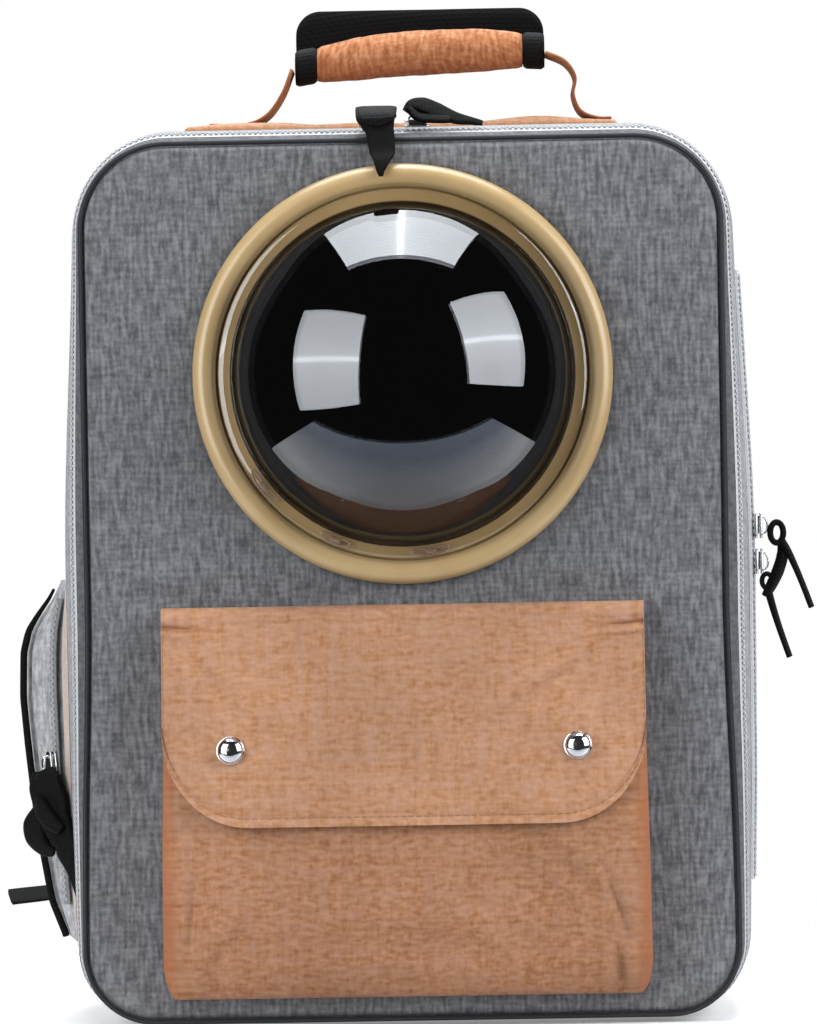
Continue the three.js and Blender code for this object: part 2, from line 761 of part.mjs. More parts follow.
function buildHandle() {
  const left = handleMiddle - gripLength / 2;
  const right = handleMiddle + gripLength / 2;
  const endDepth = (gripEndHeight * gripDepth) / gripHeight;
  const gripRows = [
    { along: 0, high: gripEndHeight - 1.5, deep: endDepth - 1.5 },
    { along: 0.02, high: gripEndHeight, deep: endDepth },
    { along: 0.2, high: gripHeight * 0.95, deep: gripDepth * 0.96 },
    { along: 0.5, high: gripHeight, deep: gripDepth },
    { along: 0.8, high: gripHeight * 0.95, deep: gripDepth * 0.96 },
    { along: 0.98, high: gripEndHeight, deep: endDepth },
    { along: 1, high: gripEndHeight - 1.5, deep: endDepth - 1.5 },
  ];
  add('handle_grip', roll(left, right, gripRows), 'orange');
  const endRows = [
    { along: 0, high: gripEndHeight - 1, deep: endDepth },
    { along: 0.2, high: gripEndHeight + 0.6, deep: endDepth + 1 },
    { along: 0.8, high: gripEndHeight + 0.6, deep: endDepth + 1 },
    { along: 1, high: gripEndHeight - 1, deep: endDepth },
  ];
  const outLeft = left - gap - gripEndLength;
  const outRight = right + gap + gripEndLength;
  add('grip_end_left', roll(outLeft, left - gap, endRows), 'black');
  add('grip_end_right', roll(right + gap, outRight, endRows), 'black');

  // The wrap stands behind the grip, and its top corners are round
  const wrapSteps = 12;
  const wrapBack = gripDepth / 2 + gap;
  const wrapSections = [];
  for (let step = 0; step <= wrapSteps; step++) {
    const share = -Math.cos((Math.PI * step) / wrapSteps);
    const middle = (outLeft + outRight) / 2;
    const half = (outRight - outLeft) / 2;
    const x = middle + half * share;
    const past = Math.max(0, Math.abs(x - middle) - (half - wrapCorner)) / wrapCorner;
    const top = handleHeight + wrapRise - wrapCorner * (1 - Math.sqrt(1 - past * past));
    const low = handleZ(x) - gripEndHeight * 0.3;
    wrapSections.push([
      new THREE.Vector3(x, wrapBack, low),
      new THREE.Vector3(x, wrapBack + wrapThickness, low),
      new THREE.Vector3(x, wrapBack + wrapThickness, (low + top) / 2),
      new THREE.Vector3(x, wrapBack + wrapThickness - wrapLean, top),
      new THREE.Vector3(x, wrapBack - wrapLean, top),
      new THREE.Vector3(x, wrapBack, (low + top) / 2),
    ]);
  }
  add('grip_wrap', loft(wrapSections), 'black');

  // Straps from the grip's ends down to their feet on the patch
  const patchTop = bodyTop + gap + patchWall;
  const footZ = patchTop + gap + strapWall / 2;
  const across = new THREE.Vector3(0, 1, 0);
  const rise = handleHeight - footZ;
  const leftRows = [
    { out: gap + strapWall / 2, up: 0.83 },
    { out: 6.5, up: 0.45 },
    { out: 14, up: 0.14 },
    { out: 23, up: 0.01 },
    { out: 42, up: 0 },
  ];
  const rightRows = [
    { out: gap + strapWall / 2, up: 1 },
    { out: 10, up: 0.87 },
    { out: 14.5, up: 0.64 },
    { out: 13.5, up: 0.38 },
    { out: 17, up: 0.12 },
    { out: 25, up: 0.01 },
    { out: 32, up: 0 },
  ];
  const strapRow = (x, row) => ({ x, y: 0, z: footZ + rise * row.up, width: strapWidth, wall: strapWall });
  const leftStrap = leftRows.map((row) => strapRow(outLeft - row.out, row));
  const rightStrap = rightRows.map((row) => strapRow(outRight + row.out, row));
  add('handle_strap_left', strip(leftStrap, across, 12), 'orange');
  add('handle_strap_right', strip(rightStrap, across, 16), 'orange');

  const half = outRight + rightRows[rightRows.length - 1].out + patchMargin;
  const deep = patchWidth / 2;
  const region = box(-half, half, -deep, deep, bodyTop - topFlare, bodyTop + patchWall * 3);
  add('handle_patch', bodySkin(gap, patchWall, region), 'orange');
}

// A zip slider that runs along X and stands up in Z, its underside at the origin
function slider() {
  const shape = new THREE.Shape();
  shape.moveTo(-sliderLength / 2, -sliderWidth * 0.3);
  shape.lineTo(sliderLength * 0.1, -sliderWidth / 2);
  shape.lineTo(sliderLength / 2, -sliderWidth / 2);
  shape.lineTo(sliderLength / 2, sliderWidth / 2);
  shape.lineTo(sliderLength * 0.1, sliderWidth / 2);
  shape.lineTo(-sliderLength / 2, sliderWidth * 0.3);
  shape.closePath();
  const body = new THREE.ExtrudeGeometry(shape, { depth: sliderHeight, bevelEnabled: false });
  const arch = new THREE.Shape();
  const reach = sliderLength * 0.36;
  arch.moveTo(-reach, 0);
  arch.lineTo(-reach * 0.7, bailHeight);
  arch.lineTo(reach * 0.7, bailHeight);
  arch.lineTo(reach, 0);
  arch.lineTo(reach * 0.62, 0);
  arch.lineTo(reach * 0.45, bailHeight * 0.55);
  arch.lineTo(-reach * 0.45, bailHeight * 0.55);
  arch.lineTo(-reach * 0.62, 0);
  arch.closePath();
  const bailWidth = sliderWidth * 0.4;
  const bail = new THREE.ExtrudeGeometry(arch, { depth: bailWidth, bevelEnabled: false });
  bail.rotateX(Math.PI / 2);
  bail.translate(0, bailWidth / 2, sliderHeight - 0.2);
  return join(outward(body), outward(bail));
}

function addSlider(name, x, y, z, turn) {
  const mesh = add(name, slider(), 'chrome');
  mesh.rotation.set(turn.x, turn.y, turn.z, 'ZYX');
  mesh.position.set(x, y, z);
  return mesh;
}

function buildTopZips() {
  const depth = zipStart + zipWidth / 2;
  const y = frontY + depth;
  const zipTop = seamTop + topFlare * flareAt(depth) + coilHeight + gap;
  addSlider('zip_slider_top_left', topSliderLeft, y, zipTop, { x: 0, y: 0, z: 0 });
  addSlider('zip_slider_top_right', topSliderRight, y, zipTop, { x: 0, y: 0, z: Math.PI });
  const above = zipTop + sliderHeight + bailHeight + gap + pullWall / 2;
  const front = panelFront - gap - pullWall / 2;
  const ringFace = front - gap - ringRise - 0.8;
  const ringCrest = windowHeight + (ringRadius + ringBore) / 2;
  const hanging = [
    { side: 2.5, y: y + 4, z: above, width: 19 },
    { side: 3, y: y - 8, z: above + 0.2, width: 19 },
    { side: 4, y: frontY - 3, z: above - 6, width: 17 },
    { side: 5, y: front - 3, z: seamTop - 5, width: 15 },
    { side: 5.4, y: ringFace + 0.5, z: ringCrest + 6, width: 13 },
    { side: 5.7, y: ringFace - 1, z: ringCrest - 0.8, width: 3 },
  ].map((row) => ({ ...row, x: topSliderLeft + row.side, wall: pullWall }));
  add('zip_pull_top_left', strip(hanging, new THREE.Vector3(1, 0, 0), 14), 'black');
  const low = zipTop + pullWall / 2 + 0.4;
  const lying = [
    { side: -5.5, back: 2, z: above },
    { side: 1.5, back: 2, z: above + 2.2 },
    { side: 9.5, back: 1, z: above + 0.6 },
    { side: 18.5, back: 1, z: low + 1.6 },
    { side: 31, back: 0, z: low },
  ].map((row) => ({ ...row, x: topSliderRight + row.side, y: y + row.back, width: 8, wall: pullWall }));
  add('zip_pull_top_right', strip(lying, new THREE.Vector3(0, 1, 0), 12), 'black');
}

// Outer face of a side wall at a height and depth
const sideX = (z, depth) => halfWidthAt(z) + sideReach(z) * flareAt(depth);

function buildRightSide() {
  const depth = sideZipBack * bodyDepth;
  const y = frontY + depth;
  const sideZipTop = seamTop - sideZipHead;
  const inside = seamBottomWidth / 3;
  const region = (half) => box(inside, seamBottomWidth, y - half, y + half, sideZipFoot, sideZipTop);
  const tape = bodySkin(gap, sideZipWall, region(sideZipWidth / 2));
  const coil = bodySkin(gap, sideZipWall + coilHeight, region(coilWidth / 2));
  add('side_zip_right', join(tape, coil), 'tape');

  const tabFront = y + sideZipWidth / 2 + tabSpace;
  const tabZ = seamTop - tabDrop;
  const tab = box(inside, seamBottomWidth, tabFront, tabFront + tabLength, tabZ, tabZ + tabLength);
  add('side_tab_right', bodySkin(gap, tabWall, tab), 'light');

  const lift = gap + sideZipWall + coilHeight + gap;
  const face = (z) => sideX(z, depth) + lift;
  const upright = { x: 0, y: Math.PI / 2, z: 0 };
  const upper = sideZipFoot + (sideZipTop - sideZipFoot) * rightSliderAt;
  const lower = upper - sliderLength - sliderSpace;
  addSlider('zip_slider_right_upper', face(upper), y, upper, upright);
  addSlider('zip_slider_right_lower', face(lower), y, lower, upright);
  const crest = sliderHeight + bailHeight + gap;
  const across = new THREE.Vector3(0, 1, 0);
  const pull = (slot, shift) => (row) => ({
    x: face(slot) + crest + row.out,
    y: y + shift,
    z: slot - row.drop,
    width: row.width,
    wall: pullWall * row.thick,
  });
  const upperPull = [
    { out: pullWall * 0.8, drop: 1, width: 9, thick: 1.6 },
    { out: 5.5, drop: 9, width: 9, thick: 1.3 },
    { out: 10, drop: 17, width: 8, thick: 1 },
    { out: 14, drop: 27, width: 7, thick: 1 },
    { out: 18.5, drop: 39.5, width: 7, thick: 1 },
  ].map(pull(upper, -1));
  add('zip_pull_right_upper', strip(upperPull, across, 10), 'black');
  const lowerPull = [
    { out: pullWall, drop: 1, width: 9, thick: 1.8 },
    { out: 0.4, drop: 9, width: 9, thick: 1.8 },
    { out: -2.2, drop: 19, width: 8, thick: 1.3 },
    { out: 2.3, drop: 31, width: 7, thick: 1 },
    { out: 7.8, drop: 47, width: 7, thick: 1 },
  ].map(pull(lower, 1));
  add('zip_pull_right_lower', strip(lowerPull, across, 10), 'black');
}

// How far the pouch stands out from the wall at a height
const pouchOut = (z) => pouchReach * between(pouchRows, 'up', (z - pouchLift) / pouchHeight, 'out');
const pouchZ = (up) => pouchLift + pouchHeight * up;

// A point of the pouch's front or back slope, from its foot at 0 to its edge at 1, before the pleats
function pouchSlope(z, foot, edge, share) {
  const depth = bodyDepth * (foot + (edge - foot) * share);
  return { x: -sideX(z, bodyDepth * foot) - pouchOut(z) * share, y: frontY + depth };
}

function pouchSection(z, inset, pleats) {
  const points = [];
  const steps = pleatCount * 2;
  const slope = (foot, edge, forward) => {
    const line = [];
    for (let step = 0; step <= steps; step++) {
      const share = step / steps;
      const p = pouchSlope(z, foot, edge, share);
      const fold = pleats && step % 2 ? pleatDepth : 0;
      line.push([p.x + inset, p.y + forward * (inset + fold)]);
    }
    return line;
  };
  points.push(...slope(pouchFrontFoot, pouchFrontEdge, 1));
  points.push(...slope(pouchBackFoot, pouchBackEdge, -1).reverse());
  const rootX = -sideX(z, bodyDepth * 0.5) + sideBulge;
  points.push([rootX, frontY + bodyDepth * pouchBackFoot - inset]);
  points.push([rootX, frontY + bodyDepth * pouchFrontFoot + inset]);
  return points.map(([x, y]) => new THREE.Vector3(x, y, z));
}

function buildLeftSide() {
  const outer = pouchRows.map((row) => pouchSection(pouchZ(row.up), 0, true));
  const last = pouchRows.length - 1;
  const inner = pouchRows.map((row, i) => {
    const shift = i === 0 ? pouchWall : i === last ? -pouchWall : 0;
    const z = pouchZ(row.up) + shift;
    return pouchSection(z, pouchWall + pleatDepth / 2, false);
  });
  add('side_pocket', cut(loft(outer), loft(inner), bodyShape(gap)), 'light');

  // Binding along the pouch's outer front edge
  const bindingRows = pouchRows.slice(0, -1).map((row) => {
    const z = pouchZ(row.up);
    const edge = pouchSlope(z, pouchFrontFoot, pouchFrontEdge, 1);
    const x = edge.x - gap - bindingWall * 0.3;
    return { x, y: edge.y - bindingWall * 1.2, z, width: bindingWall, wall: bindingWall };
  });
  add('side_pocket_binding', strip(bindingRows, new THREE.Vector3(0, 1, 0), 14), 'black');

  // Zip on the front slope, near its foot
  const face = (z, lift) => {
    const p = pouchSlope(z, pouchFrontFoot, pouchFrontEdge, pouchZipAt);
    const run = bodyDepth * (pouchFrontEdge - pouchFrontFoot);
    const out = pouchOut(z);
    const length = Math.hypot(run, out);
    return { x: p.x - (lift * run) / length, y: p.y - (lift * out) / length, out, run };
  };
  const zipLift = gap + sideZipWall / 2 + 0.4;
  const zipRows = pouchRows.slice(1, -1).map((row) => {
    const z = pouchZ(row.up);
    const p = face(z, zipLift);
    return { x: p.x, y: p.y, z, width: sideZipWidth * 0.6, wall: sideZipWall };
  });
  const middle = face(pouchZ(0.5), 0);
  const across = new THREE.Vector3(-middle.out, middle.run, 0).normalize();
  add('side_zip_left', strip(zipRows, across, 14), 'tape');

  const turn = Math.atan2(middle.out, middle.run);
  const sliderLift = zipLift + sideZipWall / 2 + gap + 0.4;
  const upper = pouchZ(pouchSliderAt);
  const lower = upper - sliderLength - sliderSpace;
  const sideways = { x: 0, y: -Math.PI / 2, z: turn };
  const upperPlace = face(upper, sliderLift);
  const lowerPlace = face(lower, sliderLift);
  addSlider('zip_slider_left_upper', upperPlace.x, upperPlace.y, upper, sideways);
  addSlider('zip_slider_left_lower', lowerPlace.x, lowerPlace.y, lower, sideways);
  const pullLift = sliderLift + sliderHeight + bailHeight + gap + pullWall;
  const pullRow = (z, lift, width, wall, shift) => {
    const p = face(z, lift);
    return { x: p.x + across.x * shift, y: p.y + across.y * shift, z, width, wall };
  };
  const upperPull = [
    pullRow(upper - 1, pullLift, 9, pullWall * 1.8, -1),
    pullRow(upper - 10, pullLift - 1, 10, pullWall * 1.8, -8),
    pullRow(upper - 21, 7.5, 11, pullWall * 2, -11),
    pullRow(upper - 36, 6.5, 11, pullWall * 2, -12),
    pullRow(upper - 50, 5.5, 8, pullWall * 1.6, -13),
    pullRow(upper - 63, 4.5, 4, pullWall, -13.5),
  ];
  add('zip_pull_left_upper', strip(upperPull, across, 12), 'black');
  const lowerPull = [
    pullRow(lower, pullLift, 8, pullWall * 1.8, 0.5),
    pullRow(lower - 7, pullLift + 5, 10, pullWall * 2, 2.5),
    pullRow(lower - 15, pullLift + 7, 11, pullWall * 2, 3.5),
    pullRow(lower - 23, pullLift + 4, 9, pullWall * 1.6, 2.5),
  ];
  add('zip_pull_left_lower', strip(lowerPull, across, 10), 'black');
}

// The back straps, as a pad, its ladder lock and the webbing below it, for the side of a sign
function buildBackStrap(sign) {
  const side = sign < 0 ? 'left' : 'right';
  const across = new THREE.Vector3(1, 0, 0);
  const back = frontY + backStart + panelThickness + gap;
  const half = seamBottomWidth / 2;
  const pad = padRows.map((row) => ({
    x: sign * half * row.out,
    y: back + padThickness / 2 + padBow * row.bow,
    z: bodyTop * row.up,
    width: padWidth * row.wide,
    wall: padThickness * row.thick,
  }));
  add(`shoulder_strap_${side}`, strip(pad, across, 18), 'grey');

  // The lock goes on from the pad's end towards the webbing's foot
  const place = (row) => new THREE.Vector3(row.x, row.y, row.z);
  const padEnd = place(pad[pad.length - 1]);
  const foot = new THREE.Vector3(sign * half * webbingFootOut, back + webbingWall / 2, webbingFoot);
  const way = padEnd.clone().sub(place(pad[pad.length - 2])).normalize();
  const onward = (reach) => padEnd.clone().addScaledVector(way, reach);
  const lockStart = onward(gap);
  const lockEnd = onward(gap + lockLength);
  const rowAt = (point, width, wall) => ({ x: point.x, y: point.y, z: point.z, width, wall });
  const lock = [lockStart, lockEnd].map((point) => rowAt(point, lockWidth, lockWall));
  add(`ladder_lock_${side}`, strip(lock, across, 2), 'plastic');

  const webStart = onward(2 * gap + lockLength);
  const webBend = onward(2 * gap + lockLength * 1.4);
  const low = webBend.clone().lerp(foot, 0.62);
  low.y = back + (webBend.y - back) * 0.22;
  const web = [webStart, webBend, low, foot].map((point) => rowAt(point, webbingWidth, webbingWall));
  add(`lower_webbing_${side}`, strip(web, across, 9), 'black');

  // The tail lies on the lock's face and hangs from it. The left one turns flat and sticks out at the side.
  const face = new THREE.Vector3().crossVectors(across, way);
  face.multiplyScalar(Math.sign(face.y) / face.length());
  const lift = (lockWall + webbingWall) / 2 + gap * 2.4;
  const onLock = (share) => onward(gap + lockLength * share).addScaledVector(face, lift);
  const tip = onLock(1);
  const fromTip = (row) => new THREE.Vector3(sign * row.out, row.back, -row.drop).add(tip);
  const beyond = tailRows[side].map(fromTip);
  const tail = [onLock(0.2), onLock(0.65), tip, ...beyond].map((point) => rowAt(point, webbingWidth, webbingWall));
  const turned = side === 'left' ? new THREE.Vector3(0, 0.98, 0.19) : across;
  add(`strap_tail_${side}`, strip(tail, across, 14, turned), 'black');
}

buildBody();
buildWindow();
buildPocket();
buildHandle();
buildTopZips();
buildRightSide();
buildLeftSide();
buildBackStrap(-1);
buildBackStrap(1);

export default group;
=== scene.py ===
import math

import bpy
import numpy as np
from mathutils import Matrix, Vector


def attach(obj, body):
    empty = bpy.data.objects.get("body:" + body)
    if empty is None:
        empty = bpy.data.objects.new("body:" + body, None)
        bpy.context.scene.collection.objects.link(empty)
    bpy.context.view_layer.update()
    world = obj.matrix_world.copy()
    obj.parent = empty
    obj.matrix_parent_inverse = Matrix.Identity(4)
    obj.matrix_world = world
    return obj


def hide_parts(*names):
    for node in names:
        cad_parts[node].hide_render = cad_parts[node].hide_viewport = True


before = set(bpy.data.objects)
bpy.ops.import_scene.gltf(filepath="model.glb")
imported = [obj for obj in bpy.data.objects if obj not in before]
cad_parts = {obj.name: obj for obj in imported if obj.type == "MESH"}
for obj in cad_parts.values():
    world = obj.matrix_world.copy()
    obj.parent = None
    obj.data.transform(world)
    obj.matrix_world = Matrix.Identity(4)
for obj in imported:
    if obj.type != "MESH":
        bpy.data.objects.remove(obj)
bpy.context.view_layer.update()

# Sizes of the bag in millimetres. They are the solids' own, but for BORE, which is 1.2 mm wider here
MM = 0.001
GAP = 0.3
BODY_DEPTH = 200.0
FRONT_Y = -BODY_DEPTH / 2
SEAM_BOTTOM = 3.2
SEAM_HEIGHT = 409.5
SEAM_TOP = SEAM_BOTTOM + SEAM_HEIGHT
SEAM_HALF = 304.6 / 2
TOP_CORNER = 40.0
BOTTOM_CORNER = 32.0
SIDE_FLARE = 9.3
SIDE_BULGE = 7.7
TOP_FLARE = 12.7
BOTTOM_FLARE = 3.2
BODY_TOP = SEAM_TOP + TOP_FLARE
PIPING = 1.15
PANEL_FRONT = FRONT_Y - 3.5
PANEL_BACK = PANEL_FRONT + 8
SEAM_INSET = 1.5
BAND = (2.5, 15.0)
ZIP = (15.3, 25.3)
GUSSET = (25.6, 197.5)
WINDOW_Z = 303.5
RING = 98.0
BORE = 87.2
LIP = 80.6
RING_RISE = 7.7
DOME_RISE = 68.0
POCKET_MIDDLE = -2.0
POCKET_HALF = 113.5
POCKET_LOW = 13.5
POCKET_TOP = 190.0
POCKET_DEPTH = 22.0
FLAP_TOP = 196.0
FLAP_LOW = 94.5
FLAP_HALF = 112.0
SNAP_X = 80.2
SNAP_Z = 130.0
HANDLE_X = 9.6
HANDLE_Z = 461.9
GRIP_HALF = 50.0
POUCH_LOW = 37.0
POUCH_HEIGHT = 173.0
BACK_FACE = FRONT_Y + 197.8 + 8
SLIDER_HIGH = 3.6
BAIL_HIGH = 3.0
SIDE_ZIP_DEPTH = 50.0
RIGHT_SLIDERS = (230.2, 213.2)
LEFT_SLIDERS = (121.8, 104.8)
POUCH_REACH = 24.0
POUCH_CLOTH = 1.4
POCKET_CLOTH = 1.6
FLAP_CLOTH = 2.0
GRIP_END = 10.8
WEBBING = (24, 2)
LOCK_LENGTH = 19

# Wave textures: their coordinates are this much longer than the pitch, and endless across it
WAVE_SIZE = 6.283
ENDLESS = 1e4


# Curves and tables

def smooth_table(at, values, spread=0.05):
    """A table read as a smooth curve: straight lines between its rows, averaged over a short window."""
    fine = np.linspace(-0.3, 1.3, 641)
    line = np.interp(fine, at, values)
    reach = int(spread / (fine[1] - fine[0]))
    kernel = np.hanning(2 * reach + 3)
    soft = np.convolve(np.pad(line, reach + 1, mode="edge"), kernel / kernel.sum(), mode="valid")
    return lambda share: np.interp(share, fine, soft)


seam_share = smooth_table([0, 0.13, 0.25, 0.35, 0.45, 0.6, 1], [1, 0.999, 0.993, 0.983, 0.977, 0.979, 0.981])
flare_out = smooth_table(
    [0, 0.075, 0.125, 0.25, 0.4, 0.55, 0.75, 0.9, 1], [0, 0.42, 0.62, 0.86, 0.97, 1, 0.93, 0.76, 0.6], 0.02
)
flare_down = smooth_table([0, 0.075, 0.125, 0.25, 0.9, 1], [0, 0.5, 0.8, 1, 1, 0.2], 0.02)
pocket_deep = smooth_table(
    [0, 0.025, 0.08, 0.2, 0.4, 0.6, 0.8, 1], [0.3, 0.58, 0.82, 1, 0.98, 0.84, 0.64, 0.42], 0.03
)
pocket_wide = smooth_table([0, 0.025, 0.08, 0.4, 1], [0.955, 0.985, 1, 0.995, 0.98], 0.02)
pouch_out = smooth_table(
    [0, 0.1, 0.23, 0.38, 0.54, 0.67, 0.8, 0.86, 0.9, 0.95, 1],
    [0.3, 0.56, 0.7, 0.82, 0.93, 1, 0.97, 0.86, 0.68, 0.42, 0.24],
    0.02,
)


def half_width(z):
    """Half the seam's width at a height: the half width times the share for that height."""
    return SEAM_HALF * seam_share((z - SEAM_BOTTOM) / SEAM_HEIGHT)


def side_reach(z):
    """How far the side stands out past the seam: its flare and a bulge by the sine squared of the height."""
    return SIDE_FLARE + SIDE_BULGE * np.sin(np.pi * np.clip((z - SEAM_BOTTOM) / SEAM_HEIGHT, 0, 1)) ** 2


def seam_line(count):
    """The front seam as evenly spaced points with outward normals: two straight ends and two sides that
    follow the width's curve, joined by quarter circles. Columns are x, z, normal x, normal z."""
    low_z, high_z = SEAM_BOTTOM + BOTTOM_CORNER, SEAM_TOP - TOP_CORNER
    low_x, high_x = half_width(low_z) - BOTTOM_CORNER, half_width(high_z) - TOP_CORNER

    def corner(x, z, radius, start):
        """A quarter circle about (x, z), with its normals."""
        angle = start + np.linspace(0, np.pi / 2, 40)
        nx, nz = np.cos(angle), np.sin(angle)
        return np.stack([x + radius * nx, z + radius * nz, nx, nz], 1)

    def side(sign):
        """One side from the bottom corner to the top corner, at half the width for each height."""
        z = np.linspace(low_z, high_z, 120)[1:-1]
        line = np.stack([sign * half_width(z), z, np.full_like(z, sign), np.zeros_like(z)], 1)
        return line if sign > 0 else line[::-1]

    parts = [
        corner(low_x, low_z, BOTTOM_CORNER, -np.pi / 2),
        side(1.0),
        corner(high_x, high_z, TOP_CORNER, 0.0),
        corner(-high_x, high_z, TOP_CORNER, np.pi / 2),
        side(-1.0),
        corner(-low_x, low_z, BOTTOM_CORNER, np.pi),
    ]
    line = np.concatenate(parts)
    line = np.concatenate([line, line[:1]])
    run = np.concatenate([[0], np.cumsum(np.hypot(*np.diff(line[:, :2], axis=0).T))])
    at = np.linspace(0, run[-1], count + 1)[:-1]
    return np.stack([np.interp(at, run, line[:, k]) for k in range(4)], 1)


SEAM = seam_line(420)


def wall(depth, inset, y=None, line=SEAM):
    """Points of the body's wall: the seam line moved out by the wall's flare at each depth and in by the
    inset. Rows follow depth, columns follow the seam."""
    depth, inset = np.broadcast_arrays(*(np.atleast_1d(value).astype(float) for value in (depth, inset)))
    y = FRONT_Y + depth if y is None else np.broadcast_to(y, depth.shape)
    x, z, nx, nz = line.T
    out = flare_out(depth / BODY_DEPTH)[:, None]
    down = flare_down(depth / BODY_DEPTH)[:, None]
    lift = np.where(nz > 0, TOP_FLARE * out, BOTTOM_FLARE * down)
    px = x - nx * inset[:, None] + nx * side_reach(z) * out
    pz = z - nz * inset[:, None] + nz * lift
    return np.stack([px, np.broadcast_to(y[:, None], px.shape), pz], -1)


def spline(points, count):
    """A smooth curve through points, each span a cubic whose speed follows the root of the chord lengths."""
    points = np.asarray(points, float)
    padded = np.concatenate([2 * points[:1] - points[1:2], points, 2 * points[-1:] - points[-2:-1]])
    t = np.linspace(0, len(points) - 1, count)
    i = np.minimum(t.astype(int), len(points) - 2)
    w = (t - i)[:, None]
    p0, p1, p2, p3 = (padded[i + k] for k in range(4))
    spans = ((p0, p1), (p1, p2), (p2, p3))
    d0, d1, d2 = (np.linalg.norm(b - a, axis=1, keepdims=True) ** 0.5 for a, b in spans)
    m1 = ((p1 - p0) / d0 - (p2 - p0) / (d0 + d1) + (p2 - p1) / d1) * d1
    m2 = ((p2 - p1) / d1 - (p3 - p1) / (d1 + d2) + (p3 - p2) / d2) * d1
    c2 = -3 * p1 + 3 * p2 - 2 * m1 - m2
    c3 = 2 * p1 - 2 * p2 + m1 + m2
    return p1 + m1 * w + c2 * w**2 + c3 * w**3


# Meshes from grids of points

def grid_faces(rows, columns, wrap_rows=False, wrap_columns=False):
    """The quads of a grid, as the row and column of each corner. A wrapped side joins back to its start."""
    row_count, column_count = rows - (not wrap_rows), columns - (not wrap_columns)
    i, j = np.meshgrid(np.arange(row_count), np.arange(column_count), indexing="ij")
    i, j = i.ravel(), j.ravel()
    return np.stack([i, i, i + 1, i + 1], 1), np.stack([j, j + 1, j + 1, j], 1)


def run_lengths(points, axis, wrap):
    """Distance run along one side of a grid, from its start, with the closing step added if it wraps."""
    if wrap:
        points = np.concatenate([points, points.take([0], axis=axis)], axis=axis)
    steps = np.linalg.norm(np.diff(points, axis=axis), axis=-1)
    first = np.zeros_like(steps.take([0], axis=axis))
    return np.concatenate([first, np.cumsum(steps, axis=axis)], axis=axis)


def grid(points, wrap_rows=False, wrap_columns=False, turn_cloth=False, even=False):
    """A grid of points as (points, faces, cloth coordinates). The cloth coordinates are real lengths run
    along the columns and rows, in millimetres. Even grids use the lengths of their first row for all
    rows."""
    rows, columns = points.shape[:2]
    i, j = grid_faces(rows, columns, wrap_rows, wrap_columns)
    faces = (i % rows) * columns + j % columns
    u = run_lengths(points, 1, wrap_columns)
    v = run_lengths(points, 0, wrap_rows)
    u = np.repeat(u[:1], rows, axis=0) if even else u
    u = np.concatenate([u, u[:1]]) if wrap_rows else u
    v = np.concatenate([v, v[:, :1]], axis=1) if wrap_columns else v
    cloth = np.stack([u[i, j], v[i, j]], -1)
    return points.reshape(-1, 3), faces, cloth[..., ::-1] if turn_cloth else cloth


def gather(*parts):
    """Several (points, faces, cloth) lists as one."""
    shift = np.cumsum([0] + [len(p[0]) for p in parts])
    return (
        np.concatenate([p[0] for p in parts]),
        np.concatenate([p[1] + s for p, s in zip(parts, shift)]),
        np.concatenate([p[2] for p in parts]),
    )


def surface(x, y, z):
    """A grid of points from its three coordinates, each spread to the size of the others."""
    return np.stack(np.broadcast_arrays(x, y, z), -1)


def slab(front, back, flat=None):
    """A sheet with thickness: two grids of the same size, joined round their edges. Given flat, the cloth is
    laid by each point's x and z, and past that distance from the middle its depth is added to x."""
    rows, columns = front.shape[:2]
    top = grid(front)
    under = grid(back)
    edge = np.concatenate([
        np.arange(columns),
        np.arange(1, rows) * columns + columns - 1,
        (rows - 1) * columns + np.arange(columns - 2, -1, -1),
        np.arange(rows - 2, 0, -1) * columns,
    ])
    nxt = np.roll(edge, -1)
    count = rows * columns
    rim = np.stack([nxt, edge, edge + count, nxt + count], 1)
    all_points = np.concatenate([top[0], under[0]])
    run = run_lengths(top[0][edge][:, None], 0, True)[:, 0]
    thick = np.linalg.norm(top[0][edge[0]] - under[0][edge[0]])
    rim_cloth = np.stack([
        np.stack([run[1:], np.zeros(len(edge))], 1),
        np.stack([run[:-1], np.zeros(len(edge))], 1),
        np.stack([run[:-1], np.full(len(edge), thick)], 1),
        np.stack([run[1:], np.full(len(edge), thick)], 1),
    ], 1)
    faces = np.concatenate([top[1], under[1][:, ::-1] + count, rim])
    if flat:
        x, y, z = all_points.T
        share = np.clip((np.abs(x - POCKET_MIDDLE) - flat) / 12, 0, 1)
        laid = np.stack([x - np.sign(x) * share * (PANEL_FRONT - y), z], 1)
        return all_points, faces, laid[faces]
    return all_points, faces, np.concatenate([top[2], under[2][:, ::-1], rim_cloth])


def grid_normals(points):
    """Unit normals of a grid, from its slopes along rows and columns."""
    across = np.gradient(points, axis=1)
    along = np.gradient(points, axis=0)
    normal = np.cross(across, along)
    return normal / np.maximum(np.linalg.norm(normal, axis=-1, keepdims=True), 1e-9)


def lathe(profile, steps, closed=True):
    """Points of a profile of (radius, y) turned about the window's axis."""
    profile = np.asarray(profile, float)
    angle = np.linspace(0, 2 * np.pi, steps, endpoint=False)
    radius, y = profile[:, :1], profile[:, 1:]
    points = surface(radius * np.cos(angle), y, WINDOW_Z + radius * np.sin(angle))
    return grid(points, wrap_rows=closed, wrap_columns=True)


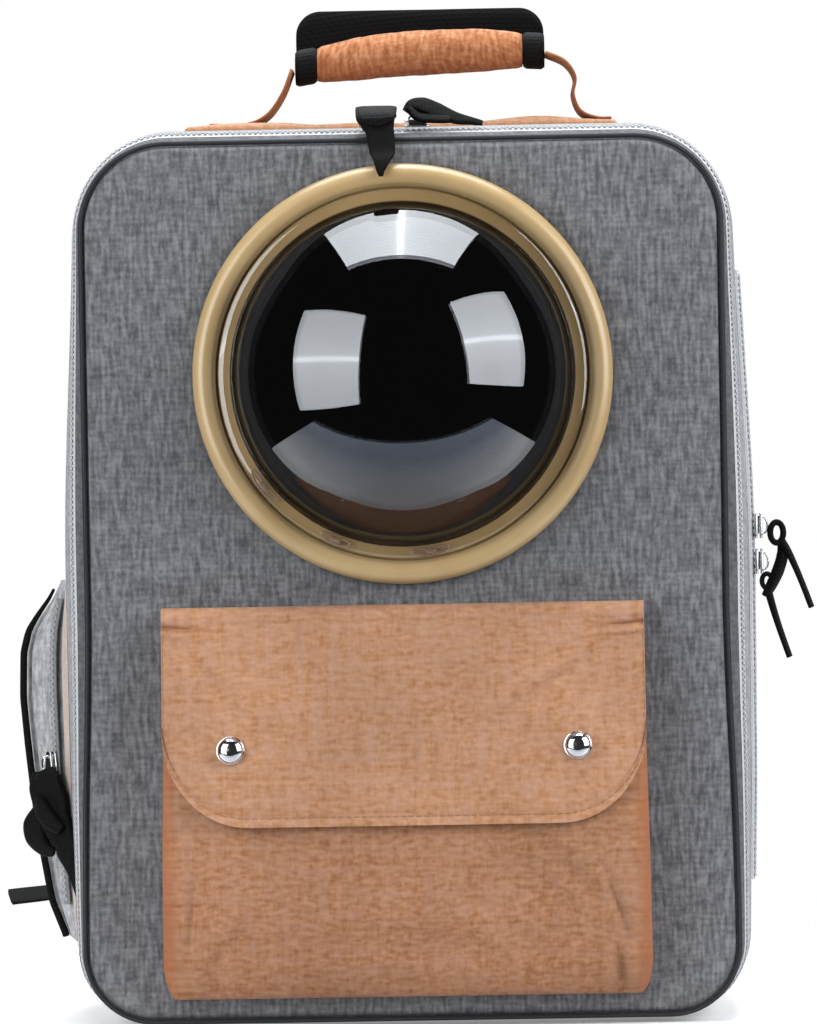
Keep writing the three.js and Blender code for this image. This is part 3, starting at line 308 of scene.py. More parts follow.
def frames(path, across, across_end=None, turn_start=0.0):
    """Side and normal of a band at each point of its path: the side is the across direction made square to
    the path, and the normal is square to both."""
    tangent = np.gradient(path, axis=0)
    tangent /= np.linalg.norm(tangent, axis=1, keepdims=True)
    share = np.clip((np.linspace(0, 1, len(path)) - turn_start) / (1 - turn_start), 0, 1)[:, None]
    end = across if across_end is None else across_end
    wanted = np.asarray(across, float) * (1 - share) + np.asarray(end, float) * share
    side = wanted - (wanted * tangent).sum(1, keepdims=True) * tangent
    side /= np.linalg.norm(side, axis=1, keepdims=True)
    return side, np.cross(tangent, side)


def tube(path, side, normal, width, wall, square=5.0, steps=20, end=0.35):
    """A closed band along a path. Its section is a rounded rectangle, width by wall, and both ends are drawn
    in over a short step and closed at a point."""
    angle = np.linspace(0, 2 * np.pi, steps, endpoint=False)
    c, s = np.cos(angle), np.sin(angle)
    round_off = (np.abs(c) ** square + np.abs(s) ** square) ** (-1 / square)
    width = np.broadcast_to(width, len(path))
    wall = np.broadcast_to(wall, len(path))
    shape = (
        path[:, None]
        + side[:, None] * (width[:, None] / 2 * c * round_off)[..., None]
        + normal[:, None] * (wall[:, None] / 2 * s * round_off)[..., None]
    )
    first = path[0] + (shape[0] - path[0]) * (1 - end)
    last = path[-1] + (shape[-1] - path[-1]) * (1 - end)
    tip = np.broadcast_to(path[0], shape[0].shape)
    heel = np.broadcast_to(path[-1], shape[0].shape)
    shift = (path[1] - path[0]) * 0.2
    back = (path[-1] - path[-2]) * 0.2
    body = shape.copy()
    body[0] = shape[0] + shift
    body[-1] = shape[-1] - back
    return grid(np.concatenate([[tip], [first], body, [last], [heel]]), wrap_columns=True)


def strip(rows, across, count=60, across_end=None, turn_start=0.0):
    """A band through rows of (x, y, z, width, wall), with width and wall running evenly from row to row."""
    rows = np.asarray(rows, float)
    path = spline(rows[:, :3], count)
    at = np.linspace(0, len(rows) - 1, count)
    width = np.interp(at, np.arange(len(rows)), rows[:, 3])
    wall = np.interp(at, np.arange(len(rows)), rows[:, 4])
    side, normal = frames(path, across, across_end, turn_start)
    return tube(path, side, normal, width, wall)


def blocks(centres, ways, ups, outs, length, width, height):
    """Many small rounded blocks, one at each centre, from one unit block turned to the directions, which are
    given for each block or for all."""
    ways, ups, outs = (np.broadcast_to(way, centres.shape) for way in (ways, ups, outs))
    ring = np.array([[1, -0.6], [1, 0.6], [0.6, 1], [-0.6, 1], [-1, 0.6], [-1, -0.6], [-0.6, -1], [0.6, -1]])
    levels = np.array([[-0.5, 0.7], [-0.25, 1.0], [0.25, 1.0], [0.5, 0.7]])
    unit = np.array([[level, a * size, b * size] for level, size in levels for a, b in ring])
    local = unit * [length, width / 2, height / 2]
    points = (
        centres[:, None]
        + ways[:, None] * local[None, :, :1]
        + ups[:, None] * local[None, :, 1:2]
        + outs[:, None] * local[None, :, 2:]
    )
    i, j = grid_faces(4, 8, False, True)
    sides = i * 8 + j % 8
    cap = np.array([[0, 1, 2, 3], [0, 3, 4, 7], [7, 4, 5, 6]])
    unit_faces = np.concatenate([sides, cap[:, ::-1], cap + 24])
    faces = (unit_faces[None] + (np.arange(len(centres)) * len(unit))[:, None, None]).reshape(-1, 4)
    flat = points.reshape(-1, 3)
    cloth = flat[faces][..., [0, 2]]
    return flat, faces, cloth


def stitches(path, out, pitch=4.2, length=2.6, thick=0.75, closed=False):
    """A row of stitches along a path: small rounded blocks, evenly spaced, each lying along the path."""
    loop = np.concatenate([path, path[:1]]) if closed else path
    out = np.broadcast_to(out, path.shape)
    out = np.concatenate([out, out[:1]]) if closed else out
    run = np.concatenate([[0], np.cumsum(np.linalg.norm(np.diff(loop, axis=0), axis=1))])
    at = np.arange(pitch / 2, run[-1], pitch)
    centre = np.stack([np.interp(at, run, loop[:, k]) for k in range(3)], 1)
    ahead = np.stack([np.interp(at + 0.5, run, loop[:, k]) for k in range(3)], 1)
    behind = np.stack([np.interp(at - 0.5, run, loop[:, k]) for k in range(3)], 1)
    way = ahead - behind
    way /= np.linalg.norm(way, axis=1, keepdims=True)
    lift = np.stack([np.interp(at, run, out[:, k]) for k in range(3)], 1)
    lift -= (lift * way).sum(1, keepdims=True) * way
    lift /= np.linalg.norm(lift, axis=1, keepdims=True)
    return blocks(centre + lift * thick * 0.15, way, np.cross(way, lift), lift, length, thick, thick)


def piece(name, shape, finish, merge=False, crease=55):
    """A Blender object from (points, faces, cloth), facing outwards, in metres, riding on the bag. It takes
    the place of the solid of its own name, where there is one."""
    points, faces, cloth = shape
    points = np.asarray(points, float) * MM
    a, b, c, d = (points[faces[:, k]] for k in range(4))
    volume = (np.cross(a, b) * c).sum() + (np.cross(a, c) * d).sum()
    if volume < 0:
        faces, cloth = faces[:, ::-1], cloth[:, ::-1]
    mesh = bpy.data.meshes.new(name)
    mesh.vertices.add(len(points))
    mesh.vertices.foreach_set("co", points.ravel())
    mesh.loops.add(faces.size)
    mesh.loops.foreach_set("vertex_index", faces.ravel().astype(np.int32))
    mesh.polygons.add(len(faces))
    mesh.polygons.foreach_set("loop_start", np.arange(0, faces.size, 4, dtype=np.int32))
    mesh.uv_layers.new(name="cloth").data.foreach_set("uv", (cloth.reshape(-1, 2) * MM).ravel())
    mesh.update(calc_edges=True)
    if merge:
        weld(mesh)
    mesh.validate()
    mesh.shade_smooth()
    mesh.set_sharp_from_angle(angle=math.radians(crease))
    mesh.materials.append(finishes[finish][0])
    made = bpy.data.objects.new(name, mesh)
    bpy.context.scene.collection.objects.link(made)
    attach(made, "root")
    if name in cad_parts:
        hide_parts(name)
    return made


def weld(mesh):
    """Merges points that lie together, as at a pole, and drops the faces that this closes up."""
    import bmesh

    work = bmesh.new()
    work.from_mesh(mesh)
    bmesh.ops.remove_doubles(work, verts=work.verts, dist=2e-6)
    bmesh.ops.dissolve_degenerate(work, edges=work.edges, dist=1e-7)
    work.to_mesh(mesh)
    work.free()


# Finishes

class Nodes:
    """A short way to write a material: each call adds a node and returns its output."""

    def __init__(self, name):
        """A new material that starts with Blender's own shader."""
        self.material = bpy.data.materials.new(name)
        self.material.use_nodes = True
        self.tree = self.material.node_tree
        self.shader = self.tree.nodes["Principled BSDF"]

    def add(self, kind, output=0, inputs=None, **settings):
        """Adds a node with its settings and inputs."""
        node = self.tree.nodes.new("ShaderNode" + kind)
        for key, value in settings.items():
            setattr(node, key, value)
        for key, value in (inputs or {}).items():
            self.join(value, node.inputs[key])
        return node.outputs[output]

    def join(self, value, socket):
        """Links an output to the socket, or sets a plain value on it."""
        if isinstance(value, bpy.types.NodeSocket):
            self.tree.links.new(value, socket)
        else:
            socket.default_value = value

    def set(self, **inputs):
        """Sets or links inputs of the shader by name, with _ for a space."""
        for key, value in inputs.items():
            self.join(value, self.shader.inputs[key.replace("_", " ")])

    def cloth(self, along, across):
        """Cloth coordinates scaled to repeats of those sizes, in millimetres."""
        uv = self.add("UVMap", uv_map="cloth")
        return self.add("Mapping", inputs={"Vector": uv, "Scale": (1 / (along * MM), 1 / (across * MM), 1)})

    def place(self, size):
        """Object coordinates scaled to a repeat of that size, in millimetres."""
        at = self.add("TexCoord", output="Object")
        return self.add("Mapping", inputs={"Vector": at, "Scale": (1 / (size * MM),) * 3})

    def noise(self, vector, detail=2.0, rough=0.5):
        """Noise over coordinates that are scaled already."""
        settings = {"Vector": vector, "Scale": 1.0, "Detail": detail, "Roughness": rough}
        return self.add("TexNoise", inputs=settings)

    def maths(self, operation, a, b=0.0, clamp=False):
        """One step of arithmetic."""
        return self.add("Math", operation=operation, use_clamp=clamp, inputs={0: a, 1: b})

    def total(self, *terms):
        """The sum of several values, each given with its weight."""
        result = None
        for value, weight in terms:
            value = value if weight == 1 else self.maths("MULTIPLY", value, weight)
            result = value if result is None else self.maths("ADD", result, value)
        return result

    def waves(self, along, across, direction, distortion=0.0):
        """Sine bands over cloth coordinates scaled to the lengths given, in millimetres."""
        settings = {"Vector": self.cloth(along, across), "Scale": 1.0, "Distortion": distortion}
        return self.add("TexWave", inputs=settings, bands_direction=direction, wave_profile="SIN")

    def spread(self, value, low, high, to_low=0.0, to_high=1.0):
        """A value moved evenly from one range to another and held at its ends."""
        return self.add("MapRange", inputs={0: value, 1: low, 2: high, 3: to_low, 4: to_high})

    def ramp(self, value, stops):
        """A colour looked up between stops."""
        output = self.add("ValToRGB", inputs={0: value})
        ramp = output.node.color_ramp
        while len(ramp.elements) < len(stops):
            ramp.elements.new(0.5)
        for element, (at, colour) in zip(ramp.elements, stops):
            element.position = at
            element.color = (*colour, 1)
        return output

    def mix(self, factor, a, b, blend="MIX"):
        """Two colours blended by a factor."""
        output = self.add("Mix", output=2, data_type="RGBA", blend_type=blend)
        self.join(factor, output.node.inputs[0])
        for value, socket in ((a, output.node.inputs[6]), (b, output.node.inputs[7])):
            self.join((*value, 1) if isinstance(value, tuple) else value, socket)
        return output

    def bump(self, height, distance):
        """A normal from heights, of a depth in millimetres."""
        return self.add("Bump", inputs={"Height": height, "Distance": distance * MM, "Strength": 1.0})


def woven(name, dark, middle, light, pitch=0.55, slub=(2.7, 8.5), contrast=1.0, relief=0.1, dirt=0.07,
          tint=None, edge=None):
    """Heather cloth: threads cross at a fine pitch, and each runs lighter or darker over short lengths, so
    that fine streaks cross along both ways. A slow random change of tone lies over it, and a second tint may
    come through in patches. A second colour may also come in towards both sides of a line along one axis; on
    the grip this is painted shade, darker on its underside and on the straps below it."""
    n = Nodes(name)
    warp = n.noise(n.cloth(slub[0], slub[1]), 0.7, 0.5)
    weft = n.noise(n.cloth(slub[1], slub[0]), 0.7, 0.5)
    fleck = n.noise(n.cloth(1.6, 2.2), 1.0, 0.5)
    shade = n.total((warp, 0.5), (weft, 0.24), (fleck, 0.26))
    spread = 0.14 / contrast
    colour = n.ramp(n.spread(shade, 0.5 - spread, 0.5 + spread), [(0.0, dark), (0.5, middle), (1.0, light)])
    if tint:
        patch = n.maths("ADD", n.noise(n.cloth(40, 4), 2.0, 0.6), n.noise(n.cloth(4, 40), 2.0, 0.6))
        colour = n.mix(n.spread(patch, 0.85, 1.25, 0.0, 0.55), colour, tint)
    # A second colour towards both sides of a line along one axis; on the grip it is painted shade, darker
    # below its top
    if edge:
        axis, centre, start, end, side_tint_and_shade = edge
        across = n.add("SeparateXYZ", output=axis, inputs={0: n.add("TexCoord", output="Object")})
        off = n.maths("ABSOLUTE", n.maths("SUBTRACT", across, centre * MM))
        colour = n.mix(n.spread(off, start * MM, end * MM, 0.0, 0.65), colour, side_tint_and_shade)
    slow = n.noise(n.place(60.0), 2.0, 0.5)
    tone = n.spread(slow, 0.3, 0.7, 1 - dirt, 1 + dirt)
    grey = n.add("CombineColor", inputs={0: tone, 1: tone, 2: tone})
    n.set(Base_Color=n.mix(1.0, colour, grey, "MULTIPLY"))
    across = n.waves(pitch * WAVE_SIZE, ENDLESS, "X")
    along = n.waves(ENDLESS, pitch * WAVE_SIZE, "Y")
    height = n.total((n.maths("MAXIMUM", across, along), 0.25), (shade, 1))
    n.set(Roughness=0.88, Normal=n.bump(height, relief))
    n.set(Sheen_Weight=0.04, Sheen_Roughness=0.5, Specular_IOR_Level=0.2)
    return n.material


def ribbed(name, dark, light, rib=1.1, relief=0.2, roughness=0.62, gloss=0.35):
    """Webbing or tape: ribs run across it and small twills lie between them."""
    n = Nodes(name)
    ribs = n.waves(ENDLESS, rib * WAVE_SIZE, "Y", 0.6)
    twill = n.waves(rib * 5.0, rib * 9.0, "DIAGONAL", 0.3)
    fuzz = n.noise(n.cloth(0.8, 0.8), 2.0, 0.7)
    height = n.total((ribs, 0.6), (twill, 0.4))
    shade = n.total((height, 0.6), (fuzz, 0.4))
    n.set(Base_Color=n.ramp(shade, [(0.25, dark), (0.8, light)]), Roughness=roughness)
    n.set(Normal=n.bump(n.total((height, 1), (fuzz, 0.4)), relief), Specular_IOR_Level=gloss)
    return n.material


def moulded(name, colour, other, roughness, coat=0.0):
    """Moulded plastic: one colour with a faint drift, and a fine uneven skin."""
    n = Nodes(name)
    drift = n.noise(n.place(30.0), 2.0)
    skin = n.noise(n.place(1.4), 3.0, 0.6)
    n.set(Base_Color=n.mix(n.spread(drift, 0.35, 0.65), colour, other))
    n.set(Roughness=n.spread(skin, 0.3, 0.7, roughness - 0.05, roughness + 0.05))
    n.set(Normal=n.bump(skin, 0.02))
    n.set(Coat_Weight=coat, Coat_Roughness=0.2)
    return n.material


def clear_plastic(name, tint, mirror):
    """Thin clear plastic: it lets light straight through, with a smoky tint inside the lip, and mirrors its
    surroundings, more so at a glancing angle, by Schlick's fifth power. Faint scuffs dull the mirror."""
    n = Nodes(name)
    n.tree.nodes.remove(n.shader)
    facing = n.add("LayerWeight", output=1, inputs={"Blend": 0.5})
    glance = n.maths("POWER", facing, 5.0)
    scuff = n.noise(n.place(14.0), 4.0, 0.6)
    worn = n.spread(scuff, 0.55, 0.8, 1.0, 0.9)
    factor = n.maths("MULTIPLY", n.total((glance, 0.12), (mirror, 1)), worn, clamp=True)
    at = n.add("TexCoord", output="Object")
    from_window = n.add("VectorMath", operation="SUBTRACT", inputs={0: at, 1: (0, 0, WINDOW_Z * MM)})
    across = n.add("VectorMath", operation="MULTIPLY", inputs={0: from_window, 1: (1, 0, 1)})
    apart = n.add("VectorMath", output=1, operation="LENGTH", inputs={0: across})
    clear = n.mix(n.spread(apart, (LIP - 1.4) * MM, (LIP + 0.4) * MM), tint, (0.96, 0.95, 0.93))
    through = n.add("BsdfTransparent", inputs={"Color": clear})
    shine = n.add("BsdfGlossy", inputs={"Color": (0.97, 0.985, 1, 1), "Roughness": 0.0})
    both = n.add("MixShader", inputs={0: factor, 1: through, 2: shine})
    n.tree.links.new(both, n.tree.nodes["Material Output"].inputs["Surface"])
    return n.material


def polished(name, colour, roughness):
    """Plated metal with a faint unevenness in its shine."""
    n = Nodes(name)
    wear = n.noise(n.place(3.0), 3.0)
    n.set(Roughness=n.spread(wear, 0.3, 0.7, roughness, roughness + 0.08), Normal=n.bump(wear, 0.01))
    n.set(Base_Color=(*colour, 1), Metallic=1.0)
    return n.material


finishes = {
    "grey": (woven("grey heather cloth", (0.066, 0.066, 0.07), (0.116, 0.116, 0.121), (0.178, 0.178, 0.184),
                   slub=(1.9, 10.0), relief=0.16),
             "grey_cloth"),
    "band": (woven("grey strip cloth", (0.045, 0.045, 0.048), (0.07, 0.07, 0.074), (0.1, 0.1, 0.105)),
             "grey_cloth"),
    "light": (woven("light grey cloth", (0.18, 0.182, 0.188), (0.235, 0.237, 0.243), (0.29, 0.292, 0.3)),
              "light_cloth"),
    "pouch": (woven("pouch cloth", (0.19, 0.19, 0.194), (0.28, 0.28, 0.285), (0.39, 0.39, 0.395),
                    edge=(1, -12, 31, 33, (0.5, 0.37, 0.3))), "light_cloth"),
    "tape": (ribbed("zip tape", (0.42, 0.423, 0.432), (0.54, 0.543, 0.552), rib=0.9, relief=0.06,
                    roughness=0.7, gloss=0.3), "zip_tape"),
    "pouch tape": (ribbed("pouch zip tape", (0.12, 0.12, 0.125), (0.2, 0.2, 0.205), rib=0.9, relief=0.08,
                          roughness=0.7, gloss=0.3), "zip_tape"),
    "teeth": (moulded("zip teeth", (0.48, 0.48, 0.49), (0.44, 0.44, 0.45), 0.7), "zip_tape"),
    "pouch teeth": (moulded("pouch zip teeth", (0.3, 0.3, 0.3), (0.25, 0.25, 0.25), 0.5), "zip_tape"),
    "piping": (ribbed("dark piping", (0.014, 0.0145, 0.017), (0.027, 0.028, 0.032), rib=0.7, relief=0.05,
                      roughness=0.6, gloss=0.2), "dark_piping"),
    "lining": (ribbed("black lining", (0.001, 0.001, 0.001), (0.003, 0.003, 0.003), rib=0.8, relief=0.05,
                      roughness=0.9, gloss=0.05), "black_lining"),
    "mesh": (ribbed("black back mesh", (0.006, 0.006, 0.007), (0.022, 0.022, 0.024), rib=1.6, relief=0.4,
                    roughness=0.8, gloss=0.2), "black_lining"),
    "black": (ribbed("black webbing", (0.0012, 0.0012, 0.0012), (0.0045, 0.0045, 0.0045), gloss=0.1,
                     relief=0.14, roughness=0.75), "black_webbing"),
    "orange": (woven("orange melange cloth", (0.215, 0.086, 0.034), (0.29, 0.132, 0.064),
                     (0.365, 0.184, 0.099), slub=(5.2, 2.0), contrast=0.9, dirt=0.1,
                     tint=(0.33, 0.185, 0.125), edge=(0, -2, 105, 111, (0.29, 0.09, 0.032))), "orange_cloth"),
    "flap": (woven("light orange melange cloth", (0.285, 0.125, 0.053), (0.352, 0.172, 0.086),
                   (0.42, 0.224, 0.125), slub=(5.2, 2.0), contrast=0.9, dirt=0.1, tint=(0.4, 0.235, 0.165)),
             "orange_cloth"),
    # The grip's cloth darkens away from 480 mm up: painted shade on its underside and on the straps below it
    "grip": (woven("orange grip cloth", (0.22, 0.07, 0.022), (0.33, 0.125, 0.05), (0.44, 0.21, 0.1),
                   slub=(2.0, 8.0), edge=(2, 480, 13, 32, (0.18, 0.045, 0.014))), "orange_cloth"),
    "thread": (moulded("orange thread", (0.36, 0.17, 0.085), (0.3, 0.135, 0.065), 0.8), "orange_cloth"),
    "grey thread": (moulded("grey thread", (0.24, 0.24, 0.25), (0.2, 0.2, 0.21), 0.8), "light_cloth"),
    "gold": (moulded("gold plastic", (0.42, 0.29, 0.134), (0.38, 0.257, 0.113), 0.36, coat=0.35),
             "gold_ring"),
    "clear": (clear_plastic("clear dome", (0.58, 0.58, 0.6), 0.072), "clear_shell"),
    "clip": (moulded("clip plastic", (0.2, 0.13, 0.09), (0.16, 0.1, 0.07), 0.16, coat=0.8), "clear_shell"),
    "chrome": (polished("plated metal", (0.62, 0.62, 0.63), 0.09), "snap_metal"),
    "plastic": (moulded("black plastic", (0.01, 0.01, 0.011), (0.014, 0.014, 0.015), 0.4), "black_plastic"),
}


# Body

def ripple(shape, spread, height, seed):
    """A soft random surface: a few waves of random direction and phase, summed over a grid of (a, b)
    places."""
    waves = np.random.default_rng(seed)
    a, b = shape
    total = np.zeros_like(a)
    for _ in range(7):
        turn = waves.uniform(0, 2 * np.pi)
        length = spread * waves.uniform(0.6, 1.7)
        total += np.sin((a * np.cos(turn) + b * np.sin(turn)) * 2 * np.pi / length + waves.uniform(0, 6.283))
    return total / 7 * height


def ring_round(depths, insets):
    """A band round the body from the depths and insets of its closed section."""
    return grid(wall(np.asarray(depths), np.asarray(insets)), wrap_rows=True, wrap_columns=True, even=True)


def make_front_panel():
    """The padded front. Each ray runs from the window's hole out to the seam. Its face lies flat, drops in a
    quarter round to the piping, and sinks a little where the ring clamps it."""
    x, z, nx, nz = SEAM.T
    edge_x, edge_z = x - nx * SEAM_INSET, z - nz * SEAM_INSET
    hole = LIP + 8.4
    angle = np.unwrap(np.arctan2(edge_z - WINDOW_Z, edge_x))
    even = np.linspace(angle[0], angle[0] + 2 * np.pi, len(angle), endpoint=False)
    turn = angle * 0.75 + even * 0.25
    share = np.linspace(0, 1, 70)[:, None]
    px = hole * np.cos(turn) * (1 - share) + edge_x * share
    pz = (WINDOW_Z + hole * np.sin(turn)) * (1 - share) + edge_z * share
    in_from_edge = np.hypot(px - edge_x, pz - edge_z)
    from_ring = np.hypot(px, pz - WINDOW_Z) - RING
    soft = 3.4
    edge_drop = soft - np.sqrt(np.maximum(soft**2 - np.maximum(soft - in_from_edge, 0) ** 2, 0))
    clamp = 0.9 * np.exp(-np.maximum(from_ring, 0) / 6)
    puff = 0.5 * np.exp(-(((in_from_edge - 16) / 10) ** 2))
    keep = np.clip(in_from_edge / 20, 0, 1)
    above_pocket = np.clip((pz - POCKET_TOP - 15) / 20, 0, 1)
    beside_pocket = np.clip((np.abs(px - POCKET_MIDDLE) - POCKET_HALF - 4.5) / 8, 0, 1)
    free = np.clip(above_pocket + beside_pocket, 0, 1)
    wave = ripple((px, pz), 95, 0.5, 3) * keep * free
    py = PANEL_FRONT + 0.45 + edge_drop + clamp - (puff + wave) * free
    front = np.stack([px, py, pz], -1)
    back = front[::-1].copy()
    back[..., 1] = PANEL_BACK
    points, faces, _ = grid(np.concatenate([front, back]), wrap_rows=True, wrap_columns=True)
    flat = points[faces][..., [0, 2]]
    piece("front_panel", (points, faces, flat), "grey")


def make_piping(name, depth, y_middle):
    """A round cord along the seam, whose section keeps the flare of one depth."""
    angle = np.linspace(0, 2 * np.pi, 14, endpoint=False)
    shift = 0.4 if depth == 0 else 0.0
    rows = wall(np.full(14, depth), -PIPING * np.sin(angle) - 0.3, y_middle - shift + PIPING * np.cos(angle))
    piece(name, grid(rows, wrap_rows=True, wrap_columns=True), "piping")


def make_side_walls():
    """Bands round the body behind the piping: grey strip, zip tape and gusset, each crowned between its
    seams."""
    low, high = 0.6, BAND[1]
    t = np.linspace(0, 1, 15)
    crown = 0.5 * np.sin(np.pi * t) - 0.2 - 1.4 * (1 - np.clip(t / 0.15, 0, 1)) ** 2
    depths = np.concatenate([low + (high - low) * t, [high, low]])
    insets = np.concatenate([0.3 - crown, [2.2, 2.2]])
    piece("front_band", ring_round(depths, insets), "band")

    low, high = ZIP
    t = np.linspace(0, 1, 21)
    middle = (low + high) / 2
    at = low + (high - low) * t
    coil = 0.55 * np.exp(-(((at - middle) / 1.5) ** 4))
    depths = np.concatenate([at, [high, low]])
    insets = np.concatenate([0.5 - coil, [2.0, 2.0]])
    piece("front_zip", ring_round(depths, insets), "tape")
    line = seam_line(1040)
    for k, way in enumerate((-1, 1)):
        centres = wall(middle + way * 1.05, -0.15, line=line)[0][k::2]
        ahead = np.roll(centres, -1, axis=0) - np.roll(centres, 1, axis=0)
        ahead /= np.linalg.norm(ahead, axis=1, keepdims=True)
        teeth = blocks(centres, (0, 1, 0), ahead, np.cross(ahead, [0.0, 1.0, 0.0]), 2.9, 1.7, 0.6)
        piece(f"front_zip_teeth_{k + 1}", teeth, "teeth")

    low, high = GUSSET
    t = np.linspace(0, 1, 61)
    at = low + (high - low) * t
    tuck = 1.0 * np.exp(-(at - low) / 2.2) + 1.0 * np.exp(-(high - at) / 2.2)
    outer = wall(at, tuck)
    a = np.broadcast_to(np.arange(outer.shape[1]) * 3.45, outer.shape[:2])
    wave = ripple((a, outer[..., 1]), 150, 0.8, 11) * np.sin(np.pi * t)[:, None]
    nx, nz = SEAM[:, 2], SEAM[:, 3]
    sink = np.minimum(wave, 0.3) * np.where(nz < -0.5, 0, 1)
    outer[..., 0] += nx * sink
    outer[..., 2] += nz * sink
    inner = wall(np.array([high, low]), 6.0)
    shape = grid(np.concatenate([outer, inner]), wrap_rows=True, wrap_columns=True, even=True)
    piece("gusset", shape, "light")
    out = np.stack([nx, np.zeros_like(nx), nz], 1)
    piece("gusset_stitches", stitches(wall(high - 4, 0.1)[0], out, closed=True), "grey thread")


def make_lining():
    """The black cup inside: straight walls that follow the body, a flat back, and an even thickness."""
    depths = np.linspace(4.8, 197.0, 24)
    outer = wall(depths, 6.3)
    inner = wall(np.linspace(195.8, 4.8, 24), 7.5)
    inner[..., 1] = np.minimum(inner[..., 1], FRONT_Y + 195.8)
    share = np.linspace(1, 0, 8)[1:, None, None]
    centre = np.array([0, 0, (SEAM_BOTTOM + SEAM_TOP) / 2])
    back = (outer[-1] - centre) * [1, 0, 1] * share + centre + [0, outer[-1][0, 1], 0]
    front = (inner[0] - centre) * [1, 0, 1] * share[::-1] + centre + [0, inner[0][0, 1], 0]
    shape = grid(np.concatenate([outer, back, front, inner]), wrap_rows=True, wrap_columns=True)
    piece("cabin_lining", shape, "lining", merge=True)


def make_back_panel():
    """The padded back: a filled outline with a rounded edge, slightly crowned, with a stitched frame."""
    x, z, nx, nz = SEAM.T
    out = flare_out(1.0)
    base_x = x - nx * 2.5 + nx * side_reach(z) * out
    base_z = z - nz * 2.5 + nz * np.where(nz > 0, TOP_FLARE * out, BOTTOM_FLARE * flare_down(1.0))
    centre = np.array([0.0, (SEAM_BOTTOM + SEAM_TOP) / 2])
    rows = []
    near = FRONT_Y + 197.8
    for back, inset in ((0.0, 0.0), (3.5, 0.0), (5.0, 0.5), (6.4, 1.8), (7.0, 3.6), (7.2, 8.0)):
        rows.append(np.stack([base_x - nx * inset, np.full_like(x, near + back), base_z - nz * inset], 1))
    last = rows[-1]
    for share in np.linspace(1, 0, 40)[1:]:
        row = last.copy()
        row[:, 0] = centre[0] + (last[:, 0] - centre[0]) * share
        row[:, 2] = centre[1] + (last[:, 2] - centre[1]) * share
        groove = 0.8 * math.exp(-(((share - 0.82) / 0.02) ** 2))
        row[:, 1] = near + 7.2 + 0.6 * (1 - share) - groove
        rows.append(row)
    inside = rows[0].copy()
    inside[:, 0] = centre[0]
    inside[:, 2] = centre[1]
    shape = grid(np.stack([inside, *rows]), wrap_columns=True)
    piece("back_panel", shape, "mesh", merge=True)


# Window

def round_profile(points, count):
    """A profile's (radius, y) points as a smooth curve through them."""
    return spline(np.c_[np.asarray(points, float), np.zeros(len(points))], count)[:, :2]


def make_window():
    """The ring, dome and clips, each a profile turned about the window's axis."""
    face = PANEL_FRONT - GAP
    width = RING - BORE
    crest = round_profile([
        (RING - 0.5, face), (RING, face - RING_RISE * 0.3), (RING - width * 0.13, face - RING_RISE * 0.74),
        (RING - width * 0.45, face - RING_RISE), (RING - width * 0.82, face - RING_RISE * 0.86),
        (BORE + 0.2, face - RING_RISE * 0.5),
    ], 26)
    lip_front = face - 1.8
    ring = [
        (LIP, lip_front), (LIP, face + 1), (LIP + 4.2, face + 3), (LIP + 4.2, PANEL_BACK + 3),
        (LIP + 7.9, PANEL_BACK + 3), (LIP + 7.9, face), *crest, (BORE, lip_front - 1), (BORE, face + 1.4),
        (BORE - 1.1, face + 1.4), (BORE - 1.1, lip_front),
    ]
    piece("dome_ring", lathe(ring, 200), "gold", crease=40)

    back = lip_front - GAP
    front = back - 2.2
    radius = LIP - GAP
    angle = np.linspace(np.pi / 2, 0, 46)

    def shell(r, rise):
        """A quarter ellipse from the tip to the rim: radius r and the rise given."""
        return np.stack([r * np.cos(angle), front - rise * np.sin(angle)], 1)

    outer = shell(radius, DOME_RISE)
    inner = shell(radius - 2.8, DOME_RISE - 2.8)[::-1]
    flange = [
        (radius + 1.2, front - 0.4), (BORE - 2.2, front), (BORE - 1.3, front + 0.5), (BORE - 1.3, back),
        (radius, back), (radius, face + 1), (radius - 2.8, face + 1),
    ]
    profile = np.concatenate([outer, flange, inner])
    piece("bubble_dome", lathe(profile, 200, closed=False), "clear", merge=True, crease=40)

    for k, (degrees, length) in enumerate(((218, 5.2), (247, 4.2), (278, 5.0))):
        a = math.radians(degrees)
        out = np.array([math.cos(a), 0, math.sin(a)])
        along = np.array([-math.sin(a), 0, math.cos(a)])
        middle = out * (LIP + BORE - 0.6) / 2 + [0, front - 1.0, WINDOW_Z]
        parts = []
        for shift, tilt in ((-0.75, 0.22), (0.75, -0.22)):
            link = ring_link(length, 1.5, 0.95)
            way = along * math.cos(tilt) + out * math.sin(tilt)
            side = out * math.cos(tilt) - along * math.sin(tilt)
            parts.append(turned(link, middle + along * shift * length, way, side))
        pin = strip([(*(middle + along * t - [0, 0.3, 0]), 1.8, 1.2) for t in (-2.5, 0, 2.5)], out, 12)
        shape = gather(*parts, pin)
        piece(f"dome_clip_{k + 1}", shape, "clip", merge=True)


# Pocket

def pocket_face(x, z):
    """Depth of the pocket's face off the panel at (x from its middle, z): its depth at that height, with a
    small crown across."""
    deep = pocket_deep((z - POCKET_LOW) / (POCKET_TOP - POCKET_LOW))
    share = np.clip(np.abs(x) / (POCKET_HALF - 9), 0, 1)
    return POCKET_DEPTH * deep + 2.5 * (1 - share**2) * deep


